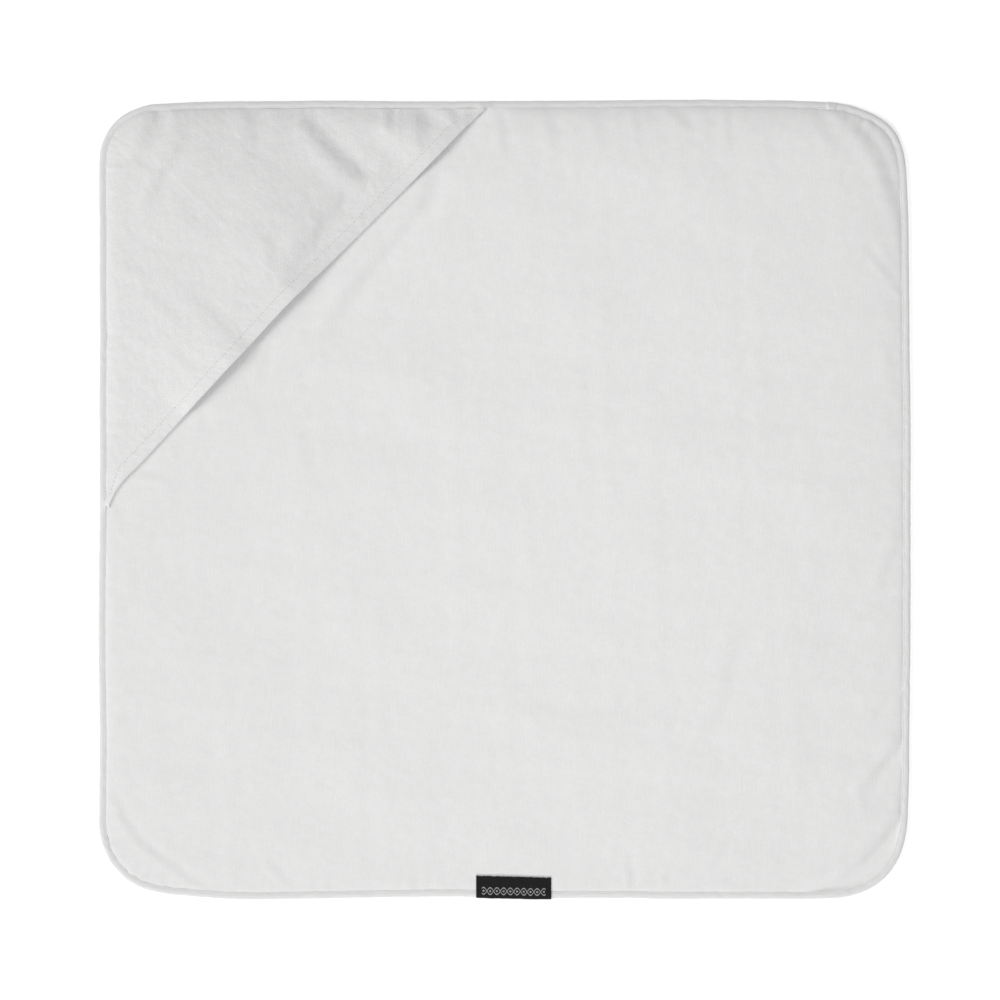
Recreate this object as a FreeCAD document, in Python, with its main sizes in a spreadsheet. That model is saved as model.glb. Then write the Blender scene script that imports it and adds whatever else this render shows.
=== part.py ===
import FreeCAD, Part
import math
import os
import Sketcher

# Hooded baby towel, lying flat with its hood in the upper left corner.
# Row frame: origin under the middle of the towel, +X along the top edge away
# from the hood, +Y towards the hood's edge, +Z up out of the cloth. Millimetres.
#
# The towel folds along the diagonal that runs from the hood's corner K to the
# opposite corner. The hood is a triangle of cloth sewn along both edges that
# meet at that corner, so it opens by itself as the towel folds: it turns up
# about both seams and creases along its own ridge. All four fold lines meet at K.

doc = FreeCAD.newDocument("hooded_towel")
dims = doc.addObject("Spreadsheet::Sheet", "dims")

SIZES = [
    ("width", 750.0),           # towel, left to right
    ("length", 737.0),          # towel, top to bottom
    ("corner_hood", 55.0),      # corner radii: under the hood,
    ("corner_side", 67.0),      # upper right,
    ("corner_wrap", 74.0),      # lower left,
    ("corner_foot", 74.0),      # lower right
    ("tape_width", 6.5),        # bound edge, as seen from above
    ("tape_sheet", 0.6),        # one layer of the binding tape
    ("panel_thick", 2.4),       # terry panel
    ("panel_inset", 0.8),       # panel's rim, inside the folded tape
    ("pad_inset", 7.0),         # full-thickness panel, inside the tape's back leg
    ("margin_thick", 1.5),      # hood cloth caught in the seam
    ("hood_thick", 1.5),        # hood panel
    ("hem_thick", 1.2),         # folded layer under the hood's mouth
    ("hem_width", 13.0),
    ("hem_stitch", 11.6),       # hem stitching, from the mouth
    ("hood_top", 358.4),        # hood along the top edge
    ("hood_side", 371.7),       # hood along the left edge
    ("spread", 2.36),           # seam lines open out by this from square, degrees
    ("hinge_level", 2.7),       # height at which the fold lines meet
    ("rise", 2.5),              # slope of the hood panels at rest, degrees
    ("panel_gap", 0.4),         # between the panel's halves along the fold
    ("tape_gap", 2.2),          # between the tape's halves along the fold
    ("seam_clear", 2.0),        # hood panel, from its seam line
    ("seam_clear_near", 3.5),   # the same on the open seam, at the corner
    ("seam_clear_far", 17.0),   # the same on the open seam, at the mouth
    ("ridge_clear", 0.25),      # hood panel, from the ridge
    ("hem_clear", 1.0),         # hem, from the ridge
    ("seam_inset", 4.9),        # binding stitches, from the towel's edge
    ("thread_wide", 0.5),
    ("thread_high", 0.25),
    ("label_width", 70.2),
    ("label_height", 23.3),
    ("label_sheet", 0.35),
    ("label_middle", 8.5),      # label's middle, right of the towel's middle
    ("label_room", 0.15),       # clear space round the label in its recess
    ("lap_middle", 302.0),      # overlap of the tape's two ends
    ("lap_length", 9.0),
    ("lap_width", 4.4),
    ("lap_sheet", 0.5),
]
for row, (alias, value) in enumerate(SIZES, start=1):
    dims.set("A%d" % row, alias)
    dims.set("B%d" % row, repr(value))
    dims.setAlias("B%d" % row, alias)
doc.recompute()


class Size:
    """A number together with the expression that ties it to the sheet."""

    def __init__(self, v, e=None):
        self.v = float(v)
        self.e = repr(float(v)) if e is None else e

    def __add__(self, o):
        o = size(o)
        return Size(self.v + o.v, "(%s + %s)" % (self.e, o.e))

    def __sub__(self, o):
        o = size(o)
        return Size(self.v - o.v, "(%s - %s)" % (self.e, o.e))

    def __mul__(self, o):
        o = size(o)
        return Size(self.v * o.v, "(%s * %s)" % (self.e, o.e))

    def __truediv__(self, o):
        o = size(o)
        return Size(self.v / o.v, "(%s / %s)" % (self.e, o.e))

    def __neg__(self):
        return Size(-self.v, "(0 - %s)" % self.e)

    __radd__ = __add__

    def __rsub__(self, o):
        return size(o) - self

    def __rmul__(self, o):
        return size(o) * self


def size(x):
    return x if isinstance(x, Size) else Size(x)


def sin(a):
    return Size(math.sin(math.radians(a.v)), "sin(%s)" % a.e)


def cos(a):
    return Size(math.cos(math.radians(a.v)), "cos(%s)" % a.e)


def root(a):
    return Size(math.sqrt(a.v), "sqrt(%s)" % a.e)


S = {alias: Size(value, "dims." + alias) for alias, value in SIZES}
HALF = math.sqrt(0.5)

# ---- the points that everything is drawn from -------------------------------
left = -(S["width"] / 2)
right = S["width"] / 2
low = -(S["length"] / 2)
top = S["length"] / 2
# K: where the seam's arc crosses the diagonal
drop = S["corner_hood"] - (S["corner_hood"] - S["tape_width"]) * HALF
Kx, Ky = left + drop, top - drop
diagonal = Kx + Ky                       # the fold: x + y = diagonal
cw, sw = cos(S["spread"]), sin(S["spread"])
seam_top = (S["hood_top"] - drop) / cw   # K to A, where the mouth meets the top edge
seam_side = (S["hood_side"] - drop) / cw  # K to B, where it meets the left edge
Ax, Ay = Kx + seam_top * cw, Ky + seam_top * sw
Bx, By = Kx - seam_side * sw, Ky - seam_side * cw


def shift(z):
    return size(z)


# ---- drawing ----------------------------------------------------------------
def origin_plane(body, role="XY_Plane"):
    for feature in body.Origin.OriginFeatures:
        if feature.Role == role:
            return feature
    raise RuntimeError("no " + role)


def new_sketch(body, name, level, role="XY_Plane"):
    sketch = body.newObject("Sketcher::SketchObject", name)
    sketch.AttachmentSupport = [(origin_plane(body, role), "")]
    sketch.MapMode = "FlatFace"
    level = size(level)
    sketch.AttachmentOffset = FreeCAD.Placement(FreeCAD.Vector(0, 0, level.v), FreeCAD.Rotation())
    if level.e != repr(level.v):
        sketch.setExpression("AttachmentOffset.Base.z", level.e)
    return sketch


def tie(sketch, kind, geo, pos, amount):
    """Put one coordinate of a point at a bound distance from the sketch's origin."""
    amount = size(amount)
    if abs(amount.v) < 1e-9:
        raise RuntimeError("a coordinate of nothing")
    if amount.v > 0:
        index = sketch.addConstraint(Sketcher.Constraint(kind, -1, 1, geo, pos, amount.v))
        sketch.setExpression("Constraints[%d]" % index, amount.e)
    else:
        index = sketch.addConstraint(Sketcher.Constraint(kind, geo, pos, -1, 1, -amount.v))
        sketch.setExpression("Constraints[%d]" % index, (-amount).e)


def polygon(sketch, points):
    """A closed polygon, each corner bound in x and y."""
    n = len(points)
    for i in range(n):
        (x0, y0), (x1, y1) = points[i], points[(i + 1) % n]
        sketch.addGeometry(
            Part.LineSegment(
                FreeCAD.Vector(size(x0).v, size(y0).v, 0), FreeCAD.Vector(size(x1).v, size(y1).v, 0)
            ),
            False,
        )
    for i in range(n):
        sketch.addConstraint(Sketcher.Constraint("Coincident", i, 2, (i + 1) % n, 1))
    for i, (x, y) in enumerate(points):
        tie(sketch, "DistanceX", i, 1, x)
        tie(sketch, "DistanceY", i, 1, y)


def arc(sketch, cx, cy, r, start):
    centre = FreeCAD.Vector(cx, cy, 0)
    circle = Part.Circle(centre, FreeCAD.Vector(0, 0, 1), r)
    a = math.radians(start)
    return sketch.addGeometry(Part.ArcOfCircle(circle, a, a + math.pi / 2), False)


def line(sketch, x0, y0, x1, y1):
    return sketch.addGeometry(
        Part.LineSegment(FreeCAD.Vector(x0, y0, 0), FreeCAD.Vector(x1, y1, 0)), False
    )


def outline(sketch, inset):
    """The towel's outline, moved in by inset: four sides and four rounded corners."""
    inset = size(inset)
    x0, x1 = left + inset, right - inset
    y0, y1 = low + inset, top - inset
    rh, rs = S["corner_hood"] - inset, S["corner_side"] - inset
    rw, rf = S["corner_wrap"] - inset, S["corner_foot"] - inset
    g = [
        line(sketch, x0.v + rw.v, y0.v, x1.v - rf.v, y0.v),
        arc(sketch, x1.v - rf.v, y0.v + rf.v, rf.v, -90),
        line(sketch, x1.v, y0.v + rf.v, x1.v, y1.v - rs.v),
        arc(sketch, x1.v - rs.v, y1.v - rs.v, rs.v, 0),
        line(sketch, x1.v - rs.v, y1.v, x0.v + rh.v, y1.v),
        arc(sketch, x0.v + rh.v, y1.v - rh.v, rh.v, 90),
        line(sketch, x0.v, y1.v - rh.v, x0.v, y0.v + rw.v),
        arc(sketch, x0.v + rw.v, y0.v + rw.v, rw.v, 180),
    ]
    for i in range(8):
        sketch.addConstraint(Sketcher.Constraint("Tangent", g[i], 2, g[(i + 1) % 8], 1))
    for i, kind in ((0, "Horizontal"), (2, "Vertical"), (4, "Horizontal"), (6, "Vertical")):
        sketch.addConstraint(Sketcher.Constraint(kind, g[i]))
    for i, r in ((1, rf), (3, rs), (5, rh), (7, rw)):
        index = sketch.addConstraint(Sketcher.Constraint("Radius", g[i], r.v))
        sketch.setExpression("Constraints[%d]" % index, r.e)
    tie(sketch, "DistanceY", g[0], 1, y0)
    tie(sketch, "DistanceX", g[2], 1, x1)
    tie(sketch, "DistanceY", g[4], 1, y1)
    tie(sketch, "DistanceX", g[6], 1, x0)


def hood_corner(sketch, inset):
    """The part of the outline under the hood, moved in by inset: one rounded corner."""
    inset = size(inset)
    x0, y1, rh = left + inset, top - inset, S["corner_hood"] - inset
    g = [
        line(sketch, Ax.v, y1.v, x0.v + rh.v, y1.v),
        arc(sketch, x0.v + rh.v, y1.v - rh.v, rh.v, 90),
        line(sketch, x0.v, y1.v - rh.v, x0.v, By.v),
        line(sketch, x0.v, By.v, Ax.v, By.v),
        line(sketch, Ax.v, By.v, Ax.v, y1.v),
    ]
    sketch.addConstraint(Sketcher.Constraint("Tangent", g[0], 2, g[1], 1))
    sketch.addConstraint(Sketcher.Constraint("Tangent", g[1], 2, g[2], 1))
    for a, b in ((2, 3), (3, 4), (4, 0)):
        sketch.addConstraint(Sketcher.Constraint("Coincident", g[a], 2, g[b], 1))
    sketch.addConstraint(Sketcher.Constraint("Horizontal", g[0]))
    sketch.addConstraint(Sketcher.Constraint("Vertical", g[2]))
    sketch.addConstraint(Sketcher.Constraint("Horizontal", g[3]))
    sketch.addConstraint(Sketcher.Constraint("Vertical", g[4]))
    index = sketch.addConstraint(Sketcher.Constraint("Radius", g[1], rh.v))
    sketch.setExpression("Constraints[%d]" % index, rh.e)
    tie(sketch, "DistanceY", g[0], 1, y1)
    tie(sketch, "DistanceX", g[2], 1, x0)
    tie(sketch, "DistanceY", g[3], 1, By)
    tie(sketch, "DistanceX", g[4], 1, Ax)


def new_body(label):
    body = doc.addObject("PartDesign::Body", label)
    body.Label = label
    return body


def pad(body, name, level, height, draw):
    height = size(height)
    sketch = new_sketch(body, name + "_sketch", level)
    draw(sketch)
    feature = body.newObject("PartDesign::Pad", name)
    feature.Profile = sketch
    feature.Length = height.v
    if height.e != repr(height.v):
        feature.setExpression("Length", height.e)
    doc.recompute()
    return feature


def pocket(body, name, level, depth, draw):
    """Cut down from level by depth. The cut must take something away."""
    before = body.Shape.Volume
    depth = size(depth)
    sketch = new_sketch(body, name + "_sketch", level)
    draw(sketch)
    feature = body.newObject("PartDesign::Pocket", name)
    feature.Profile = sketch
    feature.Length = depth.v
    if depth.e != repr(depth.v):
        feature.setExpression("Length", depth.e)
    doc.recompute()
    if not body.Shape.Volume < before - 1e-6:
        raise RuntimeError("%s cuts nothing" % name)
    return feature


# ---- cuts shared by the pieces ----------------------------------------------
FAR = 600.0


def off_fold(side, gap):
    """Everything across the diagonal fold from a half, and half of the gap."""
    k = diagonal + side * gap * HALF

    def draw(sketch):
        polygon(sketch, [(Size(-FAR), k + FAR), (Size(FAR), k - FAR), (Size(-side * FAR), Size(-side * FAR))])

    return draw


def box(x0, y0, x1, y1):
    return lambda sketch: polygon(sketch, [(x0, y0), (x1, y0), (x1, y1), (x0, y1)])


label_left = S["label_middle"] - S["label_width"] / 2
label_right = S["label_middle"] + S["label_width"] / 2
label_top = low - S["label_sheet"] + S["label_height"]
room = S["label_room"]
label_zone = box(label_left - room, low - 5, label_right + room, label_top + room)
above_hood_zone = {
    # the part of each half's edge that has no hood in its seam
    -1: box(Size(-FAR), Size(-FAR), Size(FAR), By),
    1: box(Ax, Size(-FAR), Size(FAR), Size(FAR)),
}
tape_top = S["panel_thick"] + S["tape_sheet"]
hood_tape_top = tape_top + S["margin_thick"]

# ---- towel: terry panel, binding tape and its stitches, in two halves ---------
for side, half in ((-1, "lower"), (1, "upper")):
    # Terry panel: its rim runs inside the folded tape, the rest is full thickness.
    b = new_body("body_panel_" + half)
    pad(b, half + "_rim", S["tape_sheet"], S["panel_thick"] - S["tape_sheet"], lambda k: outline(k, S["panel_inset"]))
    pad(b, half + "_pad", 0.0, S["tape_sheet"], lambda k: outline(k, S["pad_inset"]))
    pocket(b, half + "_fold", S["panel_thick"] + 1, S["panel_thick"] + 2, off_fold(side, S["panel_gap"]))
    if side < 0:
        pocket(b, "panel_label_recess", S["label_sheet"] + room, S["label_sheet"] + room + 1, label_zone)

    # Binding tape: folded round the edge, taller where the hood is caught in it.
    b = new_body("edge_binding_" + half)
    pad(b, half + "_tape", 0.0, hood_tape_top, lambda k: outline(k, 0.0))
    pocket(b, half + "_step", hood_tape_top + 1, S["margin_thick"] + 1, above_hood_zone[side])
    pocket(b, half + "_slot", S["panel_thick"], S["panel_thick"] - S["tape_sheet"], lambda k: outline(k, S["tape_sheet"]))
    pocket(b, half + "_hood_slot", S["panel_thick"] + S["margin_thick"], S["margin_thick"], lambda k: hood_corner(k, S["tape_sheet"]))
    pocket(b, half + "_inside", hood_tape_top + 1, hood_tape_top + 2, lambda k: outline(k, S["tape_width"]))
    pocket(b, half + "_tape_fold", hood_tape_top + 1, hood_tape_top + 2, off_fold(side, S["tape_gap"]))
    if side < 0:
        pocket(b, "tape_label_recess", S["label_sheet"] + room, S["label_sheet"] + room + 1, label_zone)

    # Stitches that hold the binding, a low row on the tape.
    b = new_body("binding_thread_" + half)
    b.AllowCompound = True
    pad(b, half + "_row", hood_tape_top, S["thread_high"], lambda k: outline(k, S["seam_inset"]))
    pocket(b, half + "_row_inside", hood_tape_top + 1, size(2.0), lambda k: outline(k, S["seam_inset"] + S["thread_wide"]))
    pocket(b, half + "_row_end", hood_tape_top + 1, size(2.0), above_hood_zone[side])
    pad(b, half + "_low_row", tape_top, S["thread_high"], lambda k: outline(k, S["seam_inset"]))
    pocket(b, half + "_low_row_inside", tape_top + 1, size(2.0), lambda k: outline(k, S["seam_inset"] + S["thread_wide"]))
    pocket(b, half + "_low_row_end", tape_top + S["thread_high"], S["thread_high"] + 1, {
        -1: box(Size(-FAR), By, Size(FAR), Size(FAR)),
        1: box(Size(-FAR), Size(-FAR), Ax, Size(FAR)),
    }[side])
    pocket(b, half + "_row_fold", hood_tape_top + 1, size(4.0), off_fold(side, S["tape_gap"]))
    if side < 0:
        pocket(b, "row_label_gap", hood_tape_top + 1, size(4.0), label_zone)

    # Hood cloth that stays sewn down between the tape and the seam's fold line.
    b = new_body("hood_seam_edge_" + half)
    pad(b, half + "_margin", S["panel_thick"], S["margin_thick"], lambda k: outline(k, S["panel_inset"]))
    if side < 0:
        out = size(0.3)
        x0, y0 = Kx - out * cw, Ky + out * sw
        cut = [
            (x0 + 60 * sw, y0 + 60 * cw),
            (x0 - (seam_side + 40) * sw, y0 - (seam_side + 40) * cw),
            (Size(FAR), Size(-FAR)),
            (Size(FAR), Size(FAR)),
        ]
        end = box(Size(-FAR), Size(-FAR), Size(FAR), By)
    else:
        near, far = S["seam_clear_near"] - 2.5, S["seam_clear_far"] - 3.0
        # line from beside K to beside A, a little outside the hood panel's own edge
        x0, y0 = Kx + near * sw, Ky - near * cw
        x1, y1 = Ax + far * sw, Ay - far * cw
        dx, dy = (x1 - x0) / 10, (y1 - y0) / 10
        cut = [(x0 - dx, y0 - dy), (x1 + dx, y1 + dy), (Size(FAR), Size(-FAR)), (Size(-FAR), Size(-FAR))]
        end = box(Ax, Size(-FAR), Size(FAR), Size(FAR))
    pocket(b, half + "_margin_line", S["panel_thick"] + 4, size(6.0), lambda k, c=cut: polygon(k, c))
    pocket(b, half + "_margin_end", S["panel_thick"] + 4, size(6.0), end)
    pocket(b, half + "_margin_fold", S["panel_thick"] + 4, size(6.0), off_fold(side, S["tape_gap"]))

# ---- hood: two facets that slope up from the seams to the ridge ---------------
apex = S["spread"] + 45
slope = sin(apex) * sin(S["rise"]) / cos(S["rise"])    # slope of the ridge
level_run = 2 * seam_top * seam_side * cos(apex) / (seam_top + seam_side)
ridge = level_run * root(1 + slope * slope)            # K to the mouth, along the ridge
ca = cos(apex) / root(1 + slope * slope)               # facet's own apex angle
sa = root(1 - ca * ca)


def facet_points(seam, sign):
    """Corners of bands of a facet in its own plane: x along the seam, y across it."""
    across = seam - ridge * ca
    mouth = root(across * across + ridge * ridge * sa * sa)

    def by_seam(clear, w):
        return (seam - (w * mouth + clear * across) / (ridge * sa), clear * sign)

    def by_ridge(clear, w):
        r = ridge + (clear * (ca * seam - ridge) - w * mouth) / (sa * seam)
        return (r * ca + clear * sa, (r * sa - clear * ca) * sign)

    def by_corner(clear, ridge_clear):
        return ((ca * clear + ridge_clear) / sa, clear * sign)

    return by_seam, by_ridge, by_corner


def facet_placement(side):
    """x runs from K along the seam, z is the facet's upper side."""
    rise = math.radians(S["rise"].v)
    ux = FreeCAD.Vector(-sw.v, -cw.v, 0) if side < 0 else FreeCAD.Vector(cw.v, sw.v, 0)
    flat_y = FreeCAD.Vector(0, 0, 1).cross(ux)
    lift = -side   # the facet's inner side is the one that rises
    uy = flat_y * math.cos(rise) + FreeCAD.Vector(0, 0, 1) * (lift * math.sin(rise))
    uz = ux.cross(uy)
    matrix = FreeCAD.Matrix(
        ux.x, uy.x, uz.x, Kx.v,
        ux.y, uy.y, uz.y, Ky.v,
        ux.z, uy.z, uz.z, S["hinge_level"].v,
        0, 0, 0, 1,
    )
    return FreeCAD.Placement(matrix)


for side, half, seam in ((-1, "lower", seam_side), (1, "upper", seam_top)):
    sign = -side
    by_seam, by_ridge, by_corner = facet_points(seam, sign)
    if side < 0:
        near = far = hem_near = S["seam_clear"]
    else:
        near, far = S["seam_clear_near"], S["seam_clear_far"]
        hem_near = far - 0.5
    place = facet_placement(side)

    b = new_body("hood_panel_" + half)
    pad(b, half + "_facet", S["hem_thick"], S["hood_thick"], lambda k: polygon(k, [
        by_corner(near, S["ridge_clear"]), by_seam(far, size(0)), by_ridge(S["ridge_clear"], size(0)),
    ]))
    b.Placement = place

    b = new_body("hood_hem_" + half)
    pad(b, half + "_hem", size(0.0), S["hem_thick"], lambda k: polygon(k, [
        by_seam(hem_near, S["hem_width"]), by_seam(far, size(0)),
        by_ridge(S["hem_clear"], size(0)), by_ridge(S["hem_clear"], S["hem_width"]),
    ]))
    b.Placement = place

    b = new_body("hood_hem_thread_" + half)
    w0, w1 = S["hem_stitch"], S["hem_stitch"] + S["thread_wide"]
    pad(b, half + "_hem_row", S["hem_thick"] + S["hood_thick"], S["thread_high"], lambda k: polygon(k, [
        by_seam(far + 1, w1), by_seam(far + 1, w0), by_ridge(S["hem_clear"], w0), by_ridge(S["hem_clear"], w1),
    ]))
    b.Placement = place

# ---- label: a woven strip folded over the lower edge ---------------------------
b = new_body("woven_label")
sheet = S["label_sheet"]
sketch = new_sketch(b, "label_section", label_left, "YZ_Plane")
y0, z1 = low - sheet, tape_top + sheet
polygon(sketch, [
    (y0, Size(0.001)), (label_top, Size(0.001)), (label_top, sheet), (low, sheet),
    (low, tape_top), (label_top, tape_top), (label_top, z1), (y0, z1),
])
strip = b.newObject("PartDesign::Pad", "label_strip")
strip.Profile = sketch
strip.Length = S["label_width"].v
strip.setExpression("Length", S["label_width"].e)
doc.recompute()

# Stitches along the label's upper end.
row = doc.addObject("Part::Box", "label_thread")
row.Label = "label_thread"
for prop, amount in (("Length", S["label_width"] - 4), ("Width", S["thread_wide"]), ("Height", S["thread_high"])):
    setattr(row, prop, amount.v)
    row.setExpression(prop, amount.e)
at = (label_left + 2, label_top - 2, z1)
row.Placement = FreeCAD.Placement(FreeCAD.Vector(at[0].v, at[1].v, at[2].v), FreeCAD.Rotation())
for axis, amount in zip("xyz", at):
    row.setExpression("Placement.Base." + axis, amount.e)

# ---- end of the binding tape, lapped over its start ----------------------------
b = new_body("binding_end_lap")
pad(b, "lap", tape_top, S["lap_sheet"], box(
    S["lap_middle"] - S["lap_length"] / 2, top - 0.2 - S["lap_width"],
    S["lap_middle"] + S["lap_length"] / 2, top - 0.2,
))

doc.recompute()

# ---- checks, then one file for each piece --------------------------------------
for o in doc.Objects:
    if "Invalid" in o.State or "Error" in o.State:
        raise RuntimeError("%s is %s" % (o.Name, o.State))
pieces = [o for o in doc.Objects if o.isDerivedFrom("PartDesign::Body") or o.isDerivedFrom("Part::Box")]
for o in pieces:
    if o.Shape.isNull() or not o.Shape.isValid() or o.Shape.Volume <= 0:
        raise RuntimeError("%s has no good shape" % o.Label)
os.makedirs("parts", exist_ok=True)
for o in pieces:
    o.Shape.exportStep(os.path.join("parts", o.Label + ".step"))
    bb = o.Shape.BoundBox
    print("%-26s solids %d  %.1f..%.1f  %.1f..%.1f  %.2f..%.2f  volume %.0f" % (
        o.Label, len(o.Shape.Solids), bb.XMin, bb.XMax, bb.YMin, bb.YMax, bb.ZMin, bb.ZMax, o.Shape.Volume))
print("K %.3f %.3f  A %.3f %.3f  B %.3f %.3f  ridge %.3f  slope %.5f" % (
    Kx.v, Ky.v, Ax.v, Ay.v, Bx.v, By.v, ridge.v, slope.v))
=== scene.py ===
import bpy
import math
import numpy as np
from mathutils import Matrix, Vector


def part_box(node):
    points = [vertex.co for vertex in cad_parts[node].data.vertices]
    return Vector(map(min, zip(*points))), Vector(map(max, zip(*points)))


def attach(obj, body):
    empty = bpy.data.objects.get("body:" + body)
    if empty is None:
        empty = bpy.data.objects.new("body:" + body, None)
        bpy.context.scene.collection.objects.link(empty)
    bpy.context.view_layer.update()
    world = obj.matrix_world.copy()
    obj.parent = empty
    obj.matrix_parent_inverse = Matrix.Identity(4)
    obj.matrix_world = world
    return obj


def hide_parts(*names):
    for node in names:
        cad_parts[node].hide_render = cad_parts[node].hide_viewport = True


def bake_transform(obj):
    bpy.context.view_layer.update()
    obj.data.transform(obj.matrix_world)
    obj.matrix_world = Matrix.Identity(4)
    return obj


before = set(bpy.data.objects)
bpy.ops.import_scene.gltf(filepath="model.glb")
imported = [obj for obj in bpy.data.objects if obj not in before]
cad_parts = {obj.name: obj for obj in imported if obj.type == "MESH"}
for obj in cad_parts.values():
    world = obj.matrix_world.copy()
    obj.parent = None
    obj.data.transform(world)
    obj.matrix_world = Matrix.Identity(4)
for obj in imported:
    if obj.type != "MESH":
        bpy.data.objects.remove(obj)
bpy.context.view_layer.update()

# ---------------------------------------------------------------------------
# Design constants, in millimetres. They repeat the part's own sizes.
# ---------------------------------------------------------------------------
MM = 0.001
PANEL_LOW, PANEL_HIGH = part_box("body_panel_lower"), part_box("body_panel_upper")
BIND_LOW, BIND_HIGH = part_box("edge_binding_lower"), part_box("edge_binding_upper")
HALF_X = 0.5 * (max(BIND_LOW[1].x, BIND_HIGH[1].x) - min(BIND_LOW[0].x, BIND_HIGH[0].x)) / MM   # 375.0
HALF_Y = 368.5
R_TL, R_TR, R_BL, R_BR = 55.0, 67.0, 74.0, 74.0
TAPE = 6.5                                   # how wide the binding shows on the face
K = np.array([-354.29468, 347.79468])        # where the four fold lines meet
U_A = np.array([0.99915182, 0.04117812])     # the upper seam line, from K to A
U_B = np.array([-0.04117812, -0.99915182])   # the lower seam line, from K to B
INTO = np.array([math.sqrt(0.5), -math.sqrt(0.5)])     # from K towards the middle of the mouth
ALONG = np.array([math.sqrt(0.5), math.sqrt(0.5)])     # along the mouth, from B to A
B_END, A_END = -259.4, 247.6                 # the mouth's ends, measured along it from K's place


def smooth(x, a, b):
    t = np.clip((x - a) / (b - a), 0, 1)
    return t * t * (3 - 2 * t)


def bell(x, middle, width):
    return np.exp(-((x - middle) / width) ** 2)


def curve_through(knots, at, period=None):
    """A smooth curve through (place, value) knots."""
    k = np.array(knots, float)
    x, y = k[:, 0], k[:, 1]
    if period:
        x = np.concatenate([x[-3:] - period, x, x[:3] + period])
        y = np.concatenate([y[-3:], y, y[:3]])
        at = np.mod(at, period)
    slope = np.gradient(y, x)
    at = np.clip(at, x[0], x[-1])
    i = np.clip(np.searchsorted(x, at, side="right") - 1, 0, len(x) - 2)
    h = x[i + 1] - x[i]
    t = (at - x[i]) / h
    return ((2 * t**3 - 3 * t**2 + 1) * y[i] + (t**3 - 2 * t**2 + t) * h * slope[i]
            + (-2 * t**3 + 3 * t**2) * y[i + 1] + (t**3 - t**2) * h * slope[i + 1])


def waves(seed, count, short, long_):
    """A smooth random field made of sine waves, about -1 to 1."""
    r = np.random.default_rng(seed)
    length = np.exp(r.uniform(math.log(short), math.log(long_), count))
    turn = r.uniform(0, 2 * math.pi, count)
    phase = r.uniform(0, 2 * math.pi, count)
    kx, ky = 2 * math.pi * np.cos(turn) / length, 2 * math.pi * np.sin(turn) / length
    weight = (length / long_) ** 0.35
    weight = weight / math.sqrt((weight**2).sum() / 2)

    def field(x, y):
        total = np.zeros(np.shape(x))
        for a, b, p, w in zip(kx, ky, phase, weight):
            total = total + w * np.sin(a * x + b * y + p)
        return total * 0.6
    return field


def waves_1d(seed, count, short, long_):
    f = waves(seed, count, short, long_)
    return lambda s: f(s, np.zeros(np.shape(s)) + 17.3)


# ---------------------------------------------------------------------------
# The towel's outline: straight sides and corner arcs, with the small waves
# that a soft edge has. Distances along it run clockwise from the upper left.
# ---------------------------------------------------------------------------
QUARTER = math.pi / 2
RUNS = [
    ("line", (-HALF_X + R_TL, HALF_Y), (HALF_X - R_TR, HALF_Y), (0, 1)),
    ("arc", (HALF_X - R_TR, HALF_Y - R_TR), R_TR, 90),
    ("line", (HALF_X, HALF_Y - R_TR), (HALF_X, -HALF_Y + R_BR), (1, 0)),
    ("arc", (HALF_X - R_BR, -HALF_Y + R_BR), R_BR, 0),
    ("line", (HALF_X - R_BR, -HALF_Y), (-HALF_X + R_BL, -HALF_Y), (0, -1)),
    ("arc", (-HALF_X + R_BL, -HALF_Y + R_BL), R_BL, -90),
    ("line", (-HALF_X, -HALF_Y + R_BL), (-HALF_X, HALF_Y - R_TL), (-1, 0)),
    ("arc", (-HALF_X + R_TL, HALF_Y - R_TL), R_TL, 180),
]
EDGE_WAVES = [
    (0, -2.6), (20, -1.7), (41, -0.8), (81, -0.4), (122, -0.1), (162, 0.3), (203, -0.2), (243, -0.4),
    (304, -0.1), (365, 0.2), (425, 0.6), (466, 1.0), (506, 1.2), (547, 0.7), (587, 0.2), (608, -0.6),
    (628, -2.0), (641, -3.1), (654, -3.5), (667, -2.9), (681, -1.8), (694, -1.8), (707, -2.8),
    (720, -3.6), (733, -3.5), (754, -2.6), (774, -1.7), (815, -1.3), (857, -0.8), (898, -0.5),
    (939, 0.1), (980, 0.4), (1042, 0.3), (1103, 0.3), (1165, 0.2), (1206, -0.3), (1247, -0.8),
    (1288, -1.0), (1309, -1.6), (1329, -2.3), (1344, -2.4), (1358, -1.6), (1373, -0.4), (1387, 0.5),
    (1402, 0.6), (1431, 0.1), (1466, 0.7), (1506, 0.8), (1546, 0.7), (1586, 0.9), (1626, 0.2),
    (1666, 0.0), (1706, 0.3), (1746, -0.3), (1787, -1.3), (1827, -1.1), (1867, -0.5), (1907, 0.2),
    (1947, 0.9), (1987, 1.0), (2007, 0.4), (2027, -1.0), (2047, -2.6), (2062, -2.9), (2077, -1.7),
    (2091, -0.2), (2106, 0.7), (2120, 1.0), (2149, 0.5), (2184, -0.1), (2225, -0.6), (2265, -0.3),
    (2306, 0.4), (2346, 0.5), (2387, 0.3), (2427, -0.3), (2468, -0.6), (2508, -0.7), (2549, -0.2),
    (2589, -0.6), (2620, -0.8), (2660, -0.4), (2711, -0.3), (2751, 0.0), (2772, -0.3), (2793, -0.9),
    (2815, -1.6), (2837, -2.9),
]


def run_length(r):
    if r[0] == "line":
        return math.dist(r[1], r[2])
    return QUARTER * r[2]


STARTS = np.concatenate([[0], np.cumsum([run_length(r) for r in RUNS])])
ROUND = float(STARTS[-1])
fine_edge = waves_1d(11, 16, 9, 40)


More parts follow.
